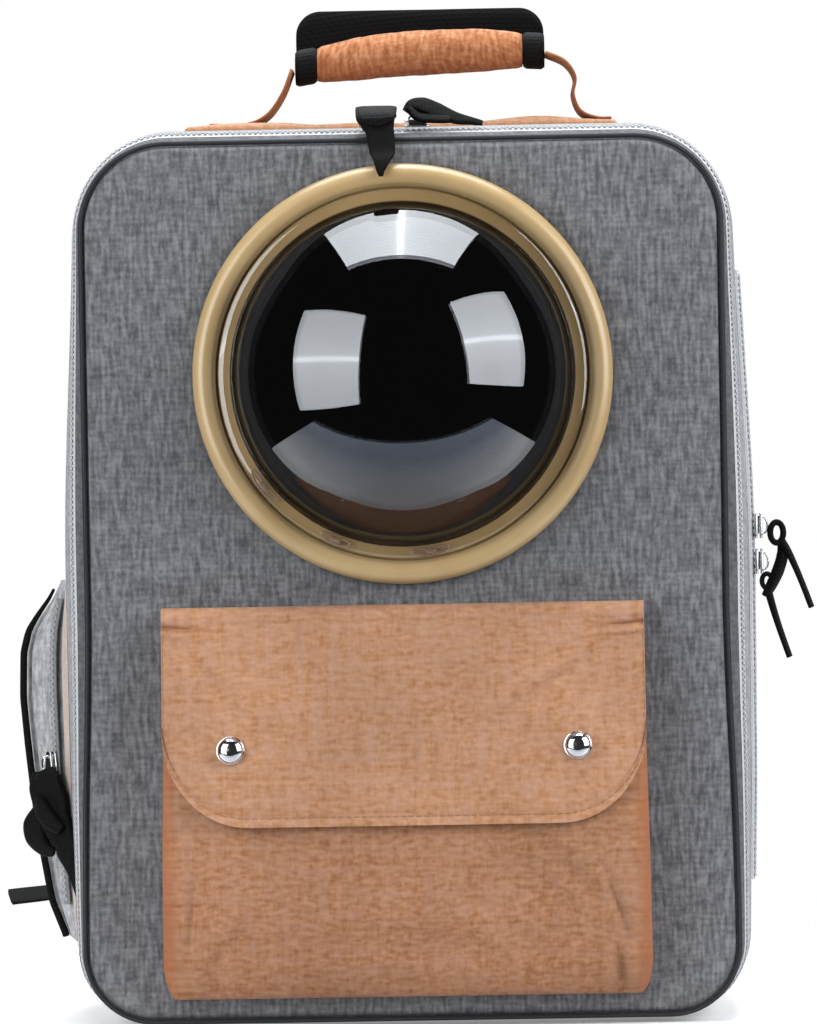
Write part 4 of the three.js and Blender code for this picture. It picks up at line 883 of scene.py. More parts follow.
def make_pocket():
    """The pouch: its section at each height runs from one side seam, round a soft corner, over the crowned
    face and round the other corner. Creases are added where the cloth is pulled."""
    seam = PANEL_FRONT - GAP
    up = np.concatenate([[0, 0.001, 0.004], np.linspace(0.012, 1, 96)])
    z = POCKET_LOW + (POCKET_TOP - POCKET_LOW) * up
    deep = pocket_deep(up) * POCKET_DEPTH * np.clip((up / 0.012), 0.02, 1) ** 0.5
    half = POCKET_HALF * pocket_wide(up)
    corner = np.minimum(9.0, deep * 0.7)
    fan = np.linspace(0, np.pi / 2, 10)
    face_t = np.linspace(-1, 1, 121)[1:-1]
    left_x = -half[:, None] + corner[:, None] * (1 - np.cos(fan))
    left_y = -deep[:, None] + corner[:, None] * (1 - np.sin(fan))
    mid_x = face_t * (half - corner)[:, None]
    mid_y = -deep[:, None] - 2.5 * (1 - face_t**2) * (deep / POCKET_DEPTH)[:, None]
    x = np.concatenate([-half[:, None], left_x, mid_x, -left_x[:, ::-1], half[:, None]], 1)
    y = np.concatenate([np.zeros((len(z), 1)), left_y, mid_y, left_y[:, ::-1], np.zeros((len(z), 1))], 1)
    zz = np.broadcast_to(z[:, None], x.shape)
    inside = np.clip((POCKET_HALF - 6 - np.abs(x)) / 20, 0, 1) * np.clip((zz - POCKET_LOW - 3) / 16, 0, 1)
    wave = ripple((x, zz), 70, 1.6, 21) + ripple((x, zz), 34, 0.7, 22)
    y = y - np.clip(wave, -1.5, 0.6) * inside
    y = y + creases(x, zz, POCKET_CREASES)
    off = np.abs(x) - (half - 5.5)[:, None]
    y = y + (0.9 * np.exp(-((off / 0.9) ** 2)) - 0.5 * np.exp(-(((off - 2.2) / 1.2) ** 2))) * (np.abs(y) > 3)
    y = y + 0.8 * np.exp(-(((zz - POCKET_LOW - 6 - 2 * np.cos(x / 30)) / 0.9) ** 2)) * (np.abs(y) > 6)
    outer = np.stack([POCKET_MIDDLE + x, seam + np.minimum(y, 0), zz], -1)
    normal = grid_normals(outer)
    inner = outer - normal * POCKET_CLOTH
    inner[..., 1] = np.minimum(inner[..., 1], seam - 0.02)
    piece("pocket_body", slab(outer, inner, 101), "orange")


def creases(x, z, lines):
    """Creases pressed in along short lines, each a groove whose depth fades to its ends. Columns of the list
    are x and z of both ends, depth and width."""
    total = np.zeros_like(x)
    for x0, z0, x1, z1, depth, width in lines:
        way = np.array([x1 - x0, z1 - z0])
        length = np.hypot(*way)
        along = ((x - x0) * way[0] + (z - z0) * way[1]) / length
        off = ((x - x0) * way[1] - (z - z0) * way[0]) / length
        fade = np.clip(1 - np.abs(along / length - 0.5) * 2, 0, 1) ** 0.6
        groove = np.exp(-((off / width) ** 2)) - 0.45 * np.exp(-(((off - 1.8 * width) / width) ** 2))
        total += depth * fade * groove
    return total


POCKET_CREASES = [
    (89, 80, 106, 32, 3.0, 2.0),
    (97, 40, 100, 12, 3.8, 2.4),
    (104, 40, 104, 14, -2.0, 2.0),
    (93, 44, 91, 16, -1.8, 2.4),
    (-96, 80, -103, 24, 2.4, 2.2),
    (-62, 62, -97, 20, 2.0, 4.0),
    (20, 72, 74, 20, 1.6, 5.0),
    (56, 94, 95, 52, 2.4, 3.5),
    (-40, 44, 60, 32, 1.4, 7.0),
    (-70, 92, -20, 80, 1.2, 6.0),
    (-98, 34, -84, 15, 2.6, 2.2),
]
FLAP_CREASES = [
    (-104, 182, -70, 134, 2.2, 3.6),
    (-92, 184, -46, 150, 1.6, 5.0),
    (104, 182, 36, 136, 2.4, 4.4),
    (92, 184, 62, 166, 1.8, 3.5),
    (98, 152, 84, 108, 1.8, 4.0),
    (-100, 142, -72, 104, 1.8, 4.0),
    (-24, 188, 26, 168, 1.0, 7.0),
    (-60, 126, 40, 112, 0.9, 6.0),
]


def make_flap():
    """The flap: at each x a line runs from its seam over the pocket's mouth and down the face to its lower
    edge, which rises in an elliptical corner at both ends."""
    seam = PANEL_FRONT - GAP
    share = np.sin(np.linspace(-np.pi / 2, np.pi / 2, 150))
    x = FLAP_HALF * share
    past = np.clip((np.abs(x) - (FLAP_HALF - 40)) / 40, 0, 1)
    low = FLAP_LOW + 44 * (1 - np.sqrt(1 - past**2))
    down = np.linspace(0, 1, 90)[1:]
    z_down = POCKET_TOP + (low[:, None] - POCKET_TOP) * down
    reach_down = pocket_face(x[:, None], z_down) + 0.8
    top = pocket_face(x, POCKET_TOP) + 0.8
    over = [(0, 0), (0.3, 0.1), (0.6, -0.2), (0.82, -1.2), (0.95, -3.2)]
    y_over = np.stack([top * k for k, _ in over], 1) + [0.1, 0, 0, 0, 0]
    z_over = np.stack([np.full_like(x, FLAP_TOP + h) for _, h in over], 1)
    y = np.concatenate([y_over, top[:, None] + 0.5, reach_down], 1)
    z = np.concatenate([z_over, np.full((len(x), 1), POCKET_TOP), z_down], 1)
    xx = np.broadcast_to(x[:, None], y.shape)
    rows = np.linspace(0, 1, y.shape[1])
    loose = np.clip(rows * 3, 0, 1)
    wave = ripple((xx, z), 80, 0.9, 31) * loose
    tuck = tucks(xx, z) - creases(xx, z, FLAP_CREASES) * loose
    from_edge = z - low[:, None]
    curl = 1.5 * np.exp(-((from_edge / 2.2) ** 2)) - 0.5 * np.exp(-(((from_edge - 5.0) / 1.0) ** 2))
    y = y + 2.2 + wave + tuck + curl
    front = np.stack([POCKET_MIDDLE + xx, seam - y, z], -1)
    front[:, 0, 1] = seam - 0.4
    front = front.transpose(1, 0, 2)
    back = front + [0.0, FLAP_CLOTH, 0.0]
    back[..., 1] = np.minimum(back[..., 1], seam)
    back[:9, :, 1] = np.maximum(back[:9, :, 1], front[:9, :, 1] + 0.3)
    back[:9, :, 2] -= 1.6
    piece("pocket_flap", slab(front, back, 200), "flap")

    # Topstitching follows the flap's edge a little way in
    k = int(len(rows) * 0.955)
    edge = front[k]
    side_left = front[k:8:-3, 4]
    side_right = front[8:k:3, -5]
    path = np.concatenate([side_left[::-1], edge[6:-6], side_right[::-1]])
    piece("flap_stitches", stitches(path, (0, -1, 0), pitch=3.6, length=2.5, thick=0.7), "thread")

    for name, sign in (("snap_left", -1), ("snap_right", 1)):
        make_snap(name, sign * SNAP_X, front)


def tucks(x, z):
    """Two short pleats at the flap's upper corners, each a ridge beside a groove that fades inwards."""
    total = np.zeros_like(x)
    for x0, z0, x1, z1 in ((-112, 186, -84, 183), (112, 185, 86, 182.5)):
        way = np.array([x1 - x0, z1 - z0])
        length = np.hypot(*way)
        along = ((x - x0) * way[0] + (z - z0) * way[1]) / length
        off = ((x - x0) * way[1] - (z - z0) * way[0]) / length * np.sign(-x0)
        fade = np.clip(1 - along / length, 0, 1) ** 0.5 * (along > -4)
        ridge = np.exp(-(((off - 1.7) / 1.7) ** 2))
        groove = np.exp(-(((off + 1.2) / 1.2) ** 2))
        total += fade * (1.6 * ridge - 2.6 * groove)
    return total


def make_snap(name, x, cloth):
    """A domed cap on a thin rim, turned about the line square to the flap."""
    spot = np.abs(cloth[..., 0] - (POCKET_MIDDLE + x)) + np.abs(cloth[..., 2] - SNAP_Z)
    row, column = np.unravel_index(spot.argmin(), spot.shape)
    normal = grid_normals(cloth)[row, column]
    normal = normal * np.sign(-normal[1])
    base = np.array([POCKET_MIDDLE + x, cloth[row, column][1] - 0.9, SNAP_Z])
    side = np.cross(normal, [0, 0, 1.0])
    side /= np.linalg.norm(side)
    up = np.cross(side, normal)
    cap = [(0, 4.0), (3.0, 3.6), (5.2, 2.3), (5.9, 1.3), (6.0, 0.8), (6.5, 0.6), (6.6, 0.1)]
    profile = np.concatenate([round_profile(cap, 34), [(6.2, -0.9), (0, -0.9)]])
    angle = np.linspace(0, 2 * np.pi, 48, endpoint=False)
    r = profile[:, 0][:, None, None]
    h = profile[:, 1][:, None, None]
    points = base + r * (side * np.cos(angle)[:, None] + up * np.sin(angle)[:, None]) + h * normal
    piece(name, grid(points, wrap_columns=True), "chrome", merge=True)


# Handle

def handle_z(x):
    """The height of the grip's middle: a slanted line and a low parabola."""
    share = (x - HANDLE_X) / GRIP_HALF
    return HANDLE_Z + 0.053 * (x - HANDLE_X) + 2.4 * (1 - share**2)


def roll(from_x, to_x, high, deep, count, wrinkle=None):
    """A padded roll along X: a round section whose height and depth are functions of the share along it."""
    share = np.linspace(0, 1, count)
    x = from_x + (to_x - from_x) * share
    angle = np.linspace(0, 2 * np.pi, 48, endpoint=False)
    swell = np.ones((count, 48)) if wrinkle is None else wrinkle(share[:, None], angle[None])
    y = deep(share)[:, None] / 2 * np.cos(angle) * swell
    z = handle_z(x)[:, None] + high(share)[:, None] / 2 * np.sin(angle) * swell
    xx = np.broadcast_to(x[:, None], y.shape)
    body = np.stack([xx, y, z], -1)
    tip = np.broadcast_to([from_x, 0, handle_z(from_x)], body[0].shape)
    heel = np.broadcast_to([to_x, 0, handle_z(to_x)], body[0].shape)
    return grid(np.concatenate([[tip], body, [heel]]), wrap_columns=True, turn_cloth=True)


def make_handle():
    """The grip, its bound ends, the wrap behind it, its straps and the patch that they are sewn to."""
    left, right = HANDLE_X - GRIP_HALF, HANDLE_X + GRIP_HALF
    high = smooth_table([0, 0.02, 0.2, 0.5, 0.8, 0.98, 1], [15.5, 17.5, 21, 22, 21, 17.5, 15.5], 0.02)
    deep = smooth_table([0, 0.02, 0.2, 0.5, 0.8, 0.98, 1], [17.5, 19.5, 24, 25, 24, 19.5, 17.5], 0.02)

    def wrinkle(share, angle):
        """How much the section swells: sine folds, one sewn groove and a slack sine."""
        folds = 0.007 * np.sin(share * 41 + 1.5 * np.sin(angle))
        folds = folds + 0.006 * np.sin(share * 77 + 2 * np.cos(angle))
        seam = -0.04 * np.exp(-(((angle - 4.3) / 0.07) ** 2))
        slack = 0.018 * np.sin(share * 9 + 3 * angle)
        return 1 + folds * np.sin(np.pi * share) ** 0.3 + seam + slack * np.sin(np.pi * share)

    grip = piece("handle_grip", roll(left, right, high, deep, 90, wrinkle), "grip", merge=True)

    end_high = smooth_table([0, 0.15, 0.85, 1], [15.5, 17.8, 17.8, 15.5], 0.05)
    end_deep = smooth_table([0, 0.15, 0.85, 1], [18.5, 20.4, 20.4, 18.5], 0.05)
    out_left, out_right = left - GRIP_END, right + GRIP_END
    for name, a, b in (("grip_end_left", out_left, left - GAP), ("grip_end_right", right + GAP, out_right)):
        piece(name, roll(a, b, end_high, end_deep, 18), "black", merge=True)

    middle, half = (out_left + out_right) / 2, (out_right - out_left) / 2
    share = np.sin(np.linspace(-np.pi / 2, np.pi / 2, 90))
    x = middle + half * share
    past = np.clip((np.abs(x - middle) - (half - 12)) / 12, 0, 1)
    top = HANDLE_Z + 25.1 - 12 * (1 - np.sqrt(1 - past**2))
    low = handle_z(x) - 5.1
    up = np.linspace(0, 1, 26)[:, None]
    z = low + (top - low) * up
    y = 12.9 + 3.9 - 2.5 * np.clip((up - 0.45) / 0.55, 0, 1) ** 1.5 + 0.25 * np.sin(x / 9) * up
    front = surface(x, y, z)
    back = front.copy()
    back[..., 1] -= 3.9 - 2.4 * np.clip((up - 0.8) / 0.2, 0, 1) ** 2
    piece("grip_wrap", slab(front, back), "black")

    patch_top = BODY_TOP + GAP + 2.6
    foot = patch_top + GAP + 1.2
    rise = HANDLE_Z - foot
    left_rows = [(0.3 + 1.2, 0.83), (6.5, 0.45), (14, 0.14), (23, 0.01), (42, 0.0)]
    right_rows = [(0.2, 1.02), (10, 0.87), (14.5, 0.64), (13.5, 0.38), (17, 0.12), (25, 0.01), (32, 0)]
    across = (0, 1, 0)
    rows = [(out_left - out, 0, foot + rise * up, 25, 1.8) for out, up in left_rows]
    piece("handle_strap_left", strip(rows, across, 70), "grip", merge=True)
    rows = [(out_right + out, 0, foot + rise * up, 25, 1.8) for out, up in right_rows]
    piece("handle_strap_right", strip(rows, across, 80), "grip", merge=True)

    half = 104.5
    x = np.linspace(-half, half, 150)
    y = np.linspace(-28, 28, 40)[:, None]
    top_line = SEAM_TOP + TOP_FLARE * flare_out((y + 100) / BODY_DEPTH)
    swells = ((2.4, -72, 26, 4), (3.4, 66, 24, 2), (1.2, -24, 14, 2))
    hump = sum(tall * np.exp(-(((x - at) / wide) ** power)) for tall, at, wide, power in swells)
    hump = hump * (1 - (y / 28) ** 4)
    edge = 1.2 * (np.clip((np.abs(y) - 26) / 2, 0, 1) ** 2 + np.clip((np.abs(x) - 102.5) / 2, 0, 1) ** 2)
    z = top_line + GAP + 2.6 + hump - edge
    front = surface(x, y, z)
    back = surface(x, y, top_line + GAP * 0.5)
    piece("handle_patch", slab(front, back), "flap")
    ring = np.array([(-half + 3, -25), (half - 3, -25), (half - 3, 25), (-half + 3, 25), (-half + 3, -25)])
    path = np.concatenate([np.linspace(ring[i], ring[i + 1], 60)[:-1] for i in range(4)])
    z = SEAM_TOP + TOP_FLARE * flare_out((path[:, 1] + 100) / BODY_DEPTH) + GAP + 2.6
    path = np.c_[path, z - 0.2]
    piece("patch_stitches", stitches(path, (0, 0, 1), thick=0.5, closed=True), "thread")


# Zips and their pulls

def turned(shape, place, x_way, z_way):
    """A shape made round the origin, set down at a place with its X and Z axes turned to two directions."""
    x_way = np.asarray(x_way, float) / np.linalg.norm(x_way)
    z_way = np.asarray(z_way, float) / np.linalg.norm(z_way)
    y_way = np.cross(z_way, x_way)
    points, faces, cloth = shape
    return points @ np.stack([x_way, y_way, z_way]) + np.asarray(place, float), faces, cloth


def slider_shape():
    """A slider 12 by 8 by 3.6: two plates with rounded edges round a waist, and a bail over the top."""
    t = np.linspace(-6, 6, 26)
    width = 8 * np.interp(t, [-6, -5, 0.5, 4.5, 6], [0.5, 0.66, 0.98, 1.0, 0.8])
    side = np.broadcast_to([0, 1.0, 0], (26, 3))
    up = np.broadcast_to([0, 0, 1.0], (26, 3))
    parts = []
    for level, wall in ((0.55, 1.1), (2.9, 1.2)):
        path = np.stack([t, np.zeros(26), np.full(26, level)], 1)
        parts.append(tube(path, side, up, width, wall, 4.0, 20))
    t = np.linspace(-4.5, 4.0, 12)
    path = np.stack([t, np.zeros(12), np.full(12, 1.7)], 1)
    parts.append(tube(path, side[:12], up[:12], 3.0, 2.0, 3.0, 14))
    angle = np.linspace(0, np.pi, 22)
    path = np.stack([-3.9 * np.cos(angle), np.zeros(22), 3.2 + 2.7 * np.sin(angle) ** 0.7], 1)
    normal = np.stack([-np.cos(angle), np.zeros(22), np.sin(angle)], 1)
    parts.append(tube(path, side[:22], normal, 3.0, 0.95, 3.0, 12))
    return gather(*parts)


def ring_link(radius_a, radius_b, thick):
    """A small wire link: a round wire along an ellipse in the XZ plane."""
    angle = np.linspace(0, 2 * np.pi, 40, endpoint=False)[:, None]
    around = np.linspace(0, 2 * np.pi, 10, endpoint=False)
    out = thick / 2 * np.cos(around)
    x = (radius_a + out) * np.cos(angle)
    z = (radius_b + out) * np.sin(angle)
    y = np.broadcast_to(thick / 2 * np.sin(around), x.shape)
    return grid(np.stack([x, y, z], -1), wrap_rows=True, wrap_columns=True)


def loop_end(centre, across, high, wall, width):
    """The looped end of a folded tape: a band bent round an open eye, seen from the front as a ring."""
    angle = np.linspace(0, 2 * np.pi, 40, endpoint=False)
    around = np.linspace(0, 2 * np.pi, 12, endpoint=False)
    c, s = np.cos(around), np.sin(around)
    round_off = (np.abs(c) ** 3 + np.abs(s) ** 3) ** (-1 / 3)
    out = wall / 2 * c * round_off
    x = centre[0] + (across - wall / 2 + out) * np.cos(angle)[:, None]
    z = centre[2] + (high - wall / 2 + out) * np.sin(angle)[:, None]
    y = centre[1] + np.broadcast_to(width / 2 * s * round_off * 2, x.shape)
    return grid(np.stack([x, y, z], -1), wrap_rows=True, wrap_columns=True)


def make_top_zips():
    """Two sliders meet at the top. One tape hangs over the front down to the ring, the other lies to the
    right."""
    depth = (ZIP[0] + ZIP[1]) / 2
    y = FRONT_Y + depth
    top = SEAM_TOP + TOP_FLARE * float(flare_out(depth / BODY_DEPTH)) + 1.2
    for name, x, way in (("zip_slider_top_left", -13, 1), ("zip_slider_top_right", 8.5, -1)):
        piece(name, turned(slider_shape(), (x, y, top), (way, 0, 0), (0, 0, 1)), "chrome", merge=True)
    above = top + SLIDER_HIGH + BAIL_HIGH + GAP + 1
    front = PANEL_FRONT - GAP - 1
    ring_face = front - GAP - RING_RISE - 0.8
    crest = WINDOW_Z + (RING + BORE) / 2
    hanging = [
        (-10.5, y + 4, above, 17, 2), (-10.5, y - 8, above + 0.4, 19.5, 3),
        (-10.2, FRONT_Y - 2, above - 5, 19, 3.4), (-8.8, FRONT_Y - 5, above - 11, 13.5, 2.6),
        (-7.6, front - 4, SEAM_TOP - 6, 12, 2.6),
        (-8.0, ring_face + 0.5, crest + 6, 7.5, 2.4), (-8.4, ring_face - 1, crest + 1.5, 4, 2),
        (-8.2, ring_face - 1, crest - 1.2, 2, 1.6),
    ]
    fold = [
        (-17.5, FRONT_Y - 4, above - 6.5, 3, 4), (-10, FRONT_Y - 5.2, above - 7.5, 5, 4),
        (-2.5, FRONT_Y - 4, above - 6, 3, 4),
    ]
    shape = gather(strip(hanging, (1, 0, 0), 80), strip(fold, (0, 0, 1), 24))
    piece("zip_pull_top_left", shape, "black", merge=True)
    low = top + 1 + 0.4
    lying = [
        (3.5, y + 2, above - 0.5, 5, 3.2), (6, y + 2, above + 2.6, 6, 3.6),
        (11, y + 1, above + 2.6, 8.5, 3.4), (18, y, above - 0.2, 9, 3), (27, y, low + 2.6, 6.5, 2.6),
        (34, y, low + 1.2, 4, 2.2), (39.5, y, low, 2.5, 1.8),
    ]
    under = [
        (4.5, y - 3, above + 1, 4, 2.4), (9, y - 4, low + 3.2, 5, 2.4), (16, y - 4, low + 2.2, 5, 2.4),
        (24, y - 3, low + 1.8, 4, 2.2),
    ]
    shape = gather(strip(lying, (0, 0.62, 0.78), 70), strip(under, (0, 0.7, 0.7), 40))
    piece("zip_pull_top_right", shape, "black", merge=True)


def side_x(z, depth):
    """How far out the side stands: half the seam's width and the reach times the flare."""
    return half_width(z) + side_reach(z) * flare_out(depth / BODY_DEPTH)


def make_right_side():
    """The closed zip on the right wall with its two sliders, and a small tab."""
    depth = SIDE_ZIP_DEPTH
    y = FRONT_Y + depth
    z = np.linspace(62, 352, 120)[:, None]
    t = np.linspace(-6, 6, 17)
    coil = 0.7 * np.exp(-((t / 1.7) ** 4))
    x = side_x(z, depth + t) + GAP + 0.8 + coil
    front = surface(x, y + t, z)
    back = surface(side_x(z, depth + t) + 0.1, y + t, z)
    piece("side_zip_right", slab(front, back), "tape")
    z_teeth = np.linspace(64, 350, 190)
    for k, way in enumerate((-1, 1)):
        zk = z_teeth[k::2]
        centres = np.stack([side_x(zk, depth) + GAP + 1.7, np.full_like(zk, y + way * 1.0), zk], 1)
        teeth = blocks(centres, (0, 1, 0), (0, 0, 1), (1, 0, 0), 2.9, 1.8, 0.9)
        piece(f"side_zip_teeth_{k + 1}", teeth, "teeth")

    z = np.linspace(322.2, 333.2, 14)[:, None]
    t = np.linspace(8, 19, 14)
    along, up = (np.sqrt(np.clip(1 - (off / 5.6) ** 4, 0, 1)) for off in (t - 13.5, z - 327.7))
    x = side_x(z, depth + t) + GAP + 1.3 + 1.1 * along * up
    front = surface(x, y + t, z)
    back = surface(side_x(z, depth + t) + 0.2, y + t, z)
    piece("side_tab_right", slab(front, back), "light")

    upper, lower = RIGHT_SLIDERS
    lift = GAP + 1.1 + 0.9 + GAP
    face = {z: float(side_x(z, depth)) + lift for z in (upper, lower)}
    for name, z in (("zip_slider_right_upper", upper), ("zip_slider_right_lower", lower)):
        shape = turned(slider_shape(), (face[z], y, z), (0, 0, -1), (1, 0, 0))
        piece(name, shape, "chrome", merge=True)
    crest = SLIDER_HIGH + BAIL_HIGH + GAP
    turn = (0.45, 0.9, 0)

    def hang(start, y_off, rows):
        """Places rows below a slider: each is out, drop, width and thickness."""
        foot = face[start] + crest
        return [(foot + out, y + y_off, start - drop, width, wall) for out, drop, width, wall in rows]

    loop = loop_end(np.array([face[upper] + crest + 3.4, y - 1, upper - 3.5]), 4.6, 6.4, 3.0, 2.6)
    rows = [(5.4, 7, 4.5, 3), (8.4, 12, 4.5, 2.6), (12, 20, 4.5, 2.2), (15.2, 28, 4.5, 2),
            (19.4, 39.5, 4.5, 2)]
    ribbon = strip(hang(upper, -1, rows), turn)
    piece("zip_pull_right_upper", gather(loop, ribbon), "black", merge=True)
    rows = [(5.8, -7.5, 5, 3.2), (6.0, -3, 6.5, 4.4), (3.6, 5, 7, 4.6), (0.2, 12, 6, 4.2), (-2.6, 17, 5, 3)]
    folded = strip(hang(lower, 1, rows), turn)
    loop = loop_end(np.array([face[lower] + crest - 1.6, y + 1, lower - 9.5]), 3.6, 4.6, 2.4, 2.4)
    rows = [(-1.6, 12, 4.5, 3), (0.4, 20, 4.5, 2.6), (3.6, 31, 4.5, 2.2), (8.6, 46, 4.5, 2)]
    ribbon = strip(hang(lower, 1, rows), turn)
    piece("zip_pull_right_lower", gather(folded, loop, ribbon), "black", merge=True)


# Left side pocket

FOOT_FRONT, EDGE_FRONT, EDGE_BACK, FOOT_BACK = 48.0, 90.0, 136.0, 164.0


def pouch_slope(z, foot, edge, share):
    """A place on the pouch's slope: out from the side by a share of its reach, and on from its foot."""
    out = POUCH_REACH * pouch_out((z - POUCH_LOW) / POUCH_HEIGHT)
    return -side_x(z, foot) - out * share, FRONT_Y + foot + (edge - foot) * share


def make_side_pocket():
    """The pouch on the left wall: its section climbs from the front foot to an edge, runs back, and returns
    to the rear foot. Pleats are waves along the section that fade at the feet and grow towards the rim."""
    up = np.linspace(0, 1, 100)[:, None]
    z = POUCH_LOW + POUCH_HEIGHT * up
    s = np.linspace(0, 1, 50)
    front_x, front_y = pouch_slope(z, FOOT_FRONT, EDGE_FRONT, s[:-1])
    back_x, back_y = pouch_slope(z, FOOT_BACK, EDGE_BACK, s[::-1][1:])
    t = np.linspace(0, 1, 50)
    end_x, end_y = pouch_slope(z, FOOT_FRONT, EDGE_FRONT, 1.0)
    far_x, far_y = pouch_slope(z, FOOT_BACK, EDGE_BACK, 1.0)
    mid_x = end_x + (far_x - end_x) * t - 1.0 * np.sin(np.pi * t)
    mid_y = end_y + (far_y - end_y) * t
    x = np.concatenate([np.broadcast_to(front_x, (100, 49)), mid_x, np.broadcast_to(back_x, (100, 49))], 1)
    y = np.concatenate([np.broadcast_to(front_y, (100, 49)), np.broadcast_to(mid_y, (100, 50)),
                        np.broadcast_to(back_y, (100, 49))], 1)
    along = np.linspace(0, 1, x.shape[1])
    sway = 0.02 * np.sin(up * 5 + 1) * np.sin(np.pi * along)
    fold = np.abs(np.sin((along + sway) * np.pi * 13))
    depth = 2.8 * np.clip(along / 0.06, 0, 1) * np.clip((1 - along) / 0.06, 0, 1) * (0.45 + 0.55 * up**0.7)
    base = np.stack([x, y, np.broadcast_to(z, x.shape)], -1)
    normal = grid_normals(base)
    normal *= np.sign(-normal[..., :1] + 1e-9)
    outer = base - normal * (depth * (1 - fold))[..., None]
    inner = outer - normal * POUCH_CLOTH
    for side in (outer, inner):
        wall_x = -side_x(side[..., 2], side[..., 1] - FRONT_Y) - 0.12
        side[..., 0] = np.minimum(side[..., 0], wall_x)
    piece("side_pocket", slab(outer, inner), "pouch")

    share = np.linspace(0, 0.975, 78)
    zz = POUCH_LOW + POUCH_HEIGHT * share
    ex, ey = pouch_slope(zz, FOOT_FRONT, EDGE_FRONT, 1.0)
    path = np.stack([ex - GAP - 1.0, np.full_like(zz, ey - 4.1), zz], 1)
    side, normal = frames(path, (0, 1, 0))
    thick = np.interp(share, [0.84, 0.975], [3.4, 1.5])
    shape = tube(path, side, normal, thick, thick, 3.0, 16)
    piece("side_pocket_binding", shape, "black", merge=True)

    run = EDGE_FRONT - FOOT_FRONT

    def face(z, lift):
        """A point of the pouch's face, lifted square to its slope."""
        px, py = pouch_slope(z, FOOT_FRONT, EDGE_FRONT, 0.3)
        out = POUCH_REACH * pouch_out((z - POUCH_LOW) / POUCH_HEIGHT)
        length = np.hypot(run, out)
        return np.stack([px - lift * run / length, py - lift * out / length, z + 0 * px], -1)

    zz = POUCH_LOW + POUCH_HEIGHT * np.linspace(0.1, 0.95, 80)
    middle_out = POUCH_REACH * float(pouch_out(0.5))
    across = np.array([-middle_out, run, 0]) / math.hypot(middle_out, run)
    outward = np.array([-run, -middle_out, 0]) / math.hypot(middle_out, run)
    path = face(zz, 1.25)
    side, normal = frames(path, across)
    piece("side_zip_left", tube(path, side, normal, 7.2, 1.1), "pouch tape", merge=True)
    for k, way in enumerate((-1, 1)):
        centres = face(np.linspace(57, 199, 96), 1.95)[k::2] + across * way * 0.8
        teeth = blocks(centres, across, (0, 0, 1), outward, 2.2, 1.8, 0.7)
        piece(f"pouch_zip_teeth_{k + 1}", teeth, "pouch teeth")

    upper, lower = LEFT_SLIDERS
    lift = 1.25 + 0.55 + GAP + 0.4
    for name, z in (("zip_slider_left_upper", upper), ("zip_slider_left_lower", lower)):
        shape = turned(slider_shape(), face(z, lift), (0, 0, -1), outward)
        piece(name, shape, "chrome", merge=True)
    high = lift + SLIDER_HIGH + BAIL_HIGH + GAP + 2

    def pull(rows):
        """Places rows by height, lift, shift, width and thickness."""
        towards = np.array([3.6, 0, 0])
        places = [face(z, off) + across * shift + towards for z, off, shift, _, _ in rows]
        return [(*place, *row[3:]) for place, row in zip(places, rows)]

    facing = np.array([-0.85, 0.53, 0])
    rows = [(upper - 3, high, -1, 9, 4.6), (upper - 8, high + 0.5, -4, 15, 5), (upper - 17, 9, -7, 13, 5.4),
            (upper - 25, 8, -9, 9, 5), (upper - 33, 7.5, -10, 11, 5), (upper - 42, 7, -12, 12.5, 4.6),
            (upper - 52, 5.5, -13, 6, 3.2), (upper - 63, 4.5, -13.5, 2, 2)]
    fold = [(upper - 4, high + 2, 4, 5, 3.6), (upper - 11, high + 4, 2, 7, 4),
            (upper - 20, high + 3, -1, 8, 4), (upper - 29, high + 1, -4, 7, 4),
            (upper - 38, high - 1, -8, 5, 3)]
    knot = [(upper - 14, high + 2, 5, 7, 4), (upper - 20, high + 4, -2, 9, 5),
            (upper - 27, high + 2, -9, 8, 5), (upper - 31, high - 1, -14, 5, 3)]
    knotted = strip(pull(knot), (0, 0, 1), 40)
    shape = gather(strip(pull(rows), facing, 80), strip(pull(fold), facing, 50), knotted)
    piece("zip_pull_left_upper", shape, "black", merge=True)
    rows = [(lower, high, 0.5, 8, 3.6), (lower - 6, high + 2, 3.5, 9, 5), (lower - 12, high + 4.5, 5, 12, 6),
            (lower - 18, high + 4, 5, 12, 6), (lower - 23, high + 1, 3, 9, 4.6),
            (lower - 25, high - 2, 0, 5, 3)]
    piece("zip_pull_left_lower", strip(pull(rows), facing), "black", merge=True)


# Back straps

PAD_ROWS = np.array([
    (0.29, 0, 0.922, 0.83, 1), (0.315, 0.05, 0.858, 0.93, 1), (0.368, 0.7, 0.748, 1, 1),
    (0.446, 1, 0.616, 1, 1), (0.538, 1, 0.482, 0.9, 1), (0.63, 0.76, 0.367, 0.63, 0.8),
    (0.676, 0.6, 0.31, 0.47, 0.6),
])


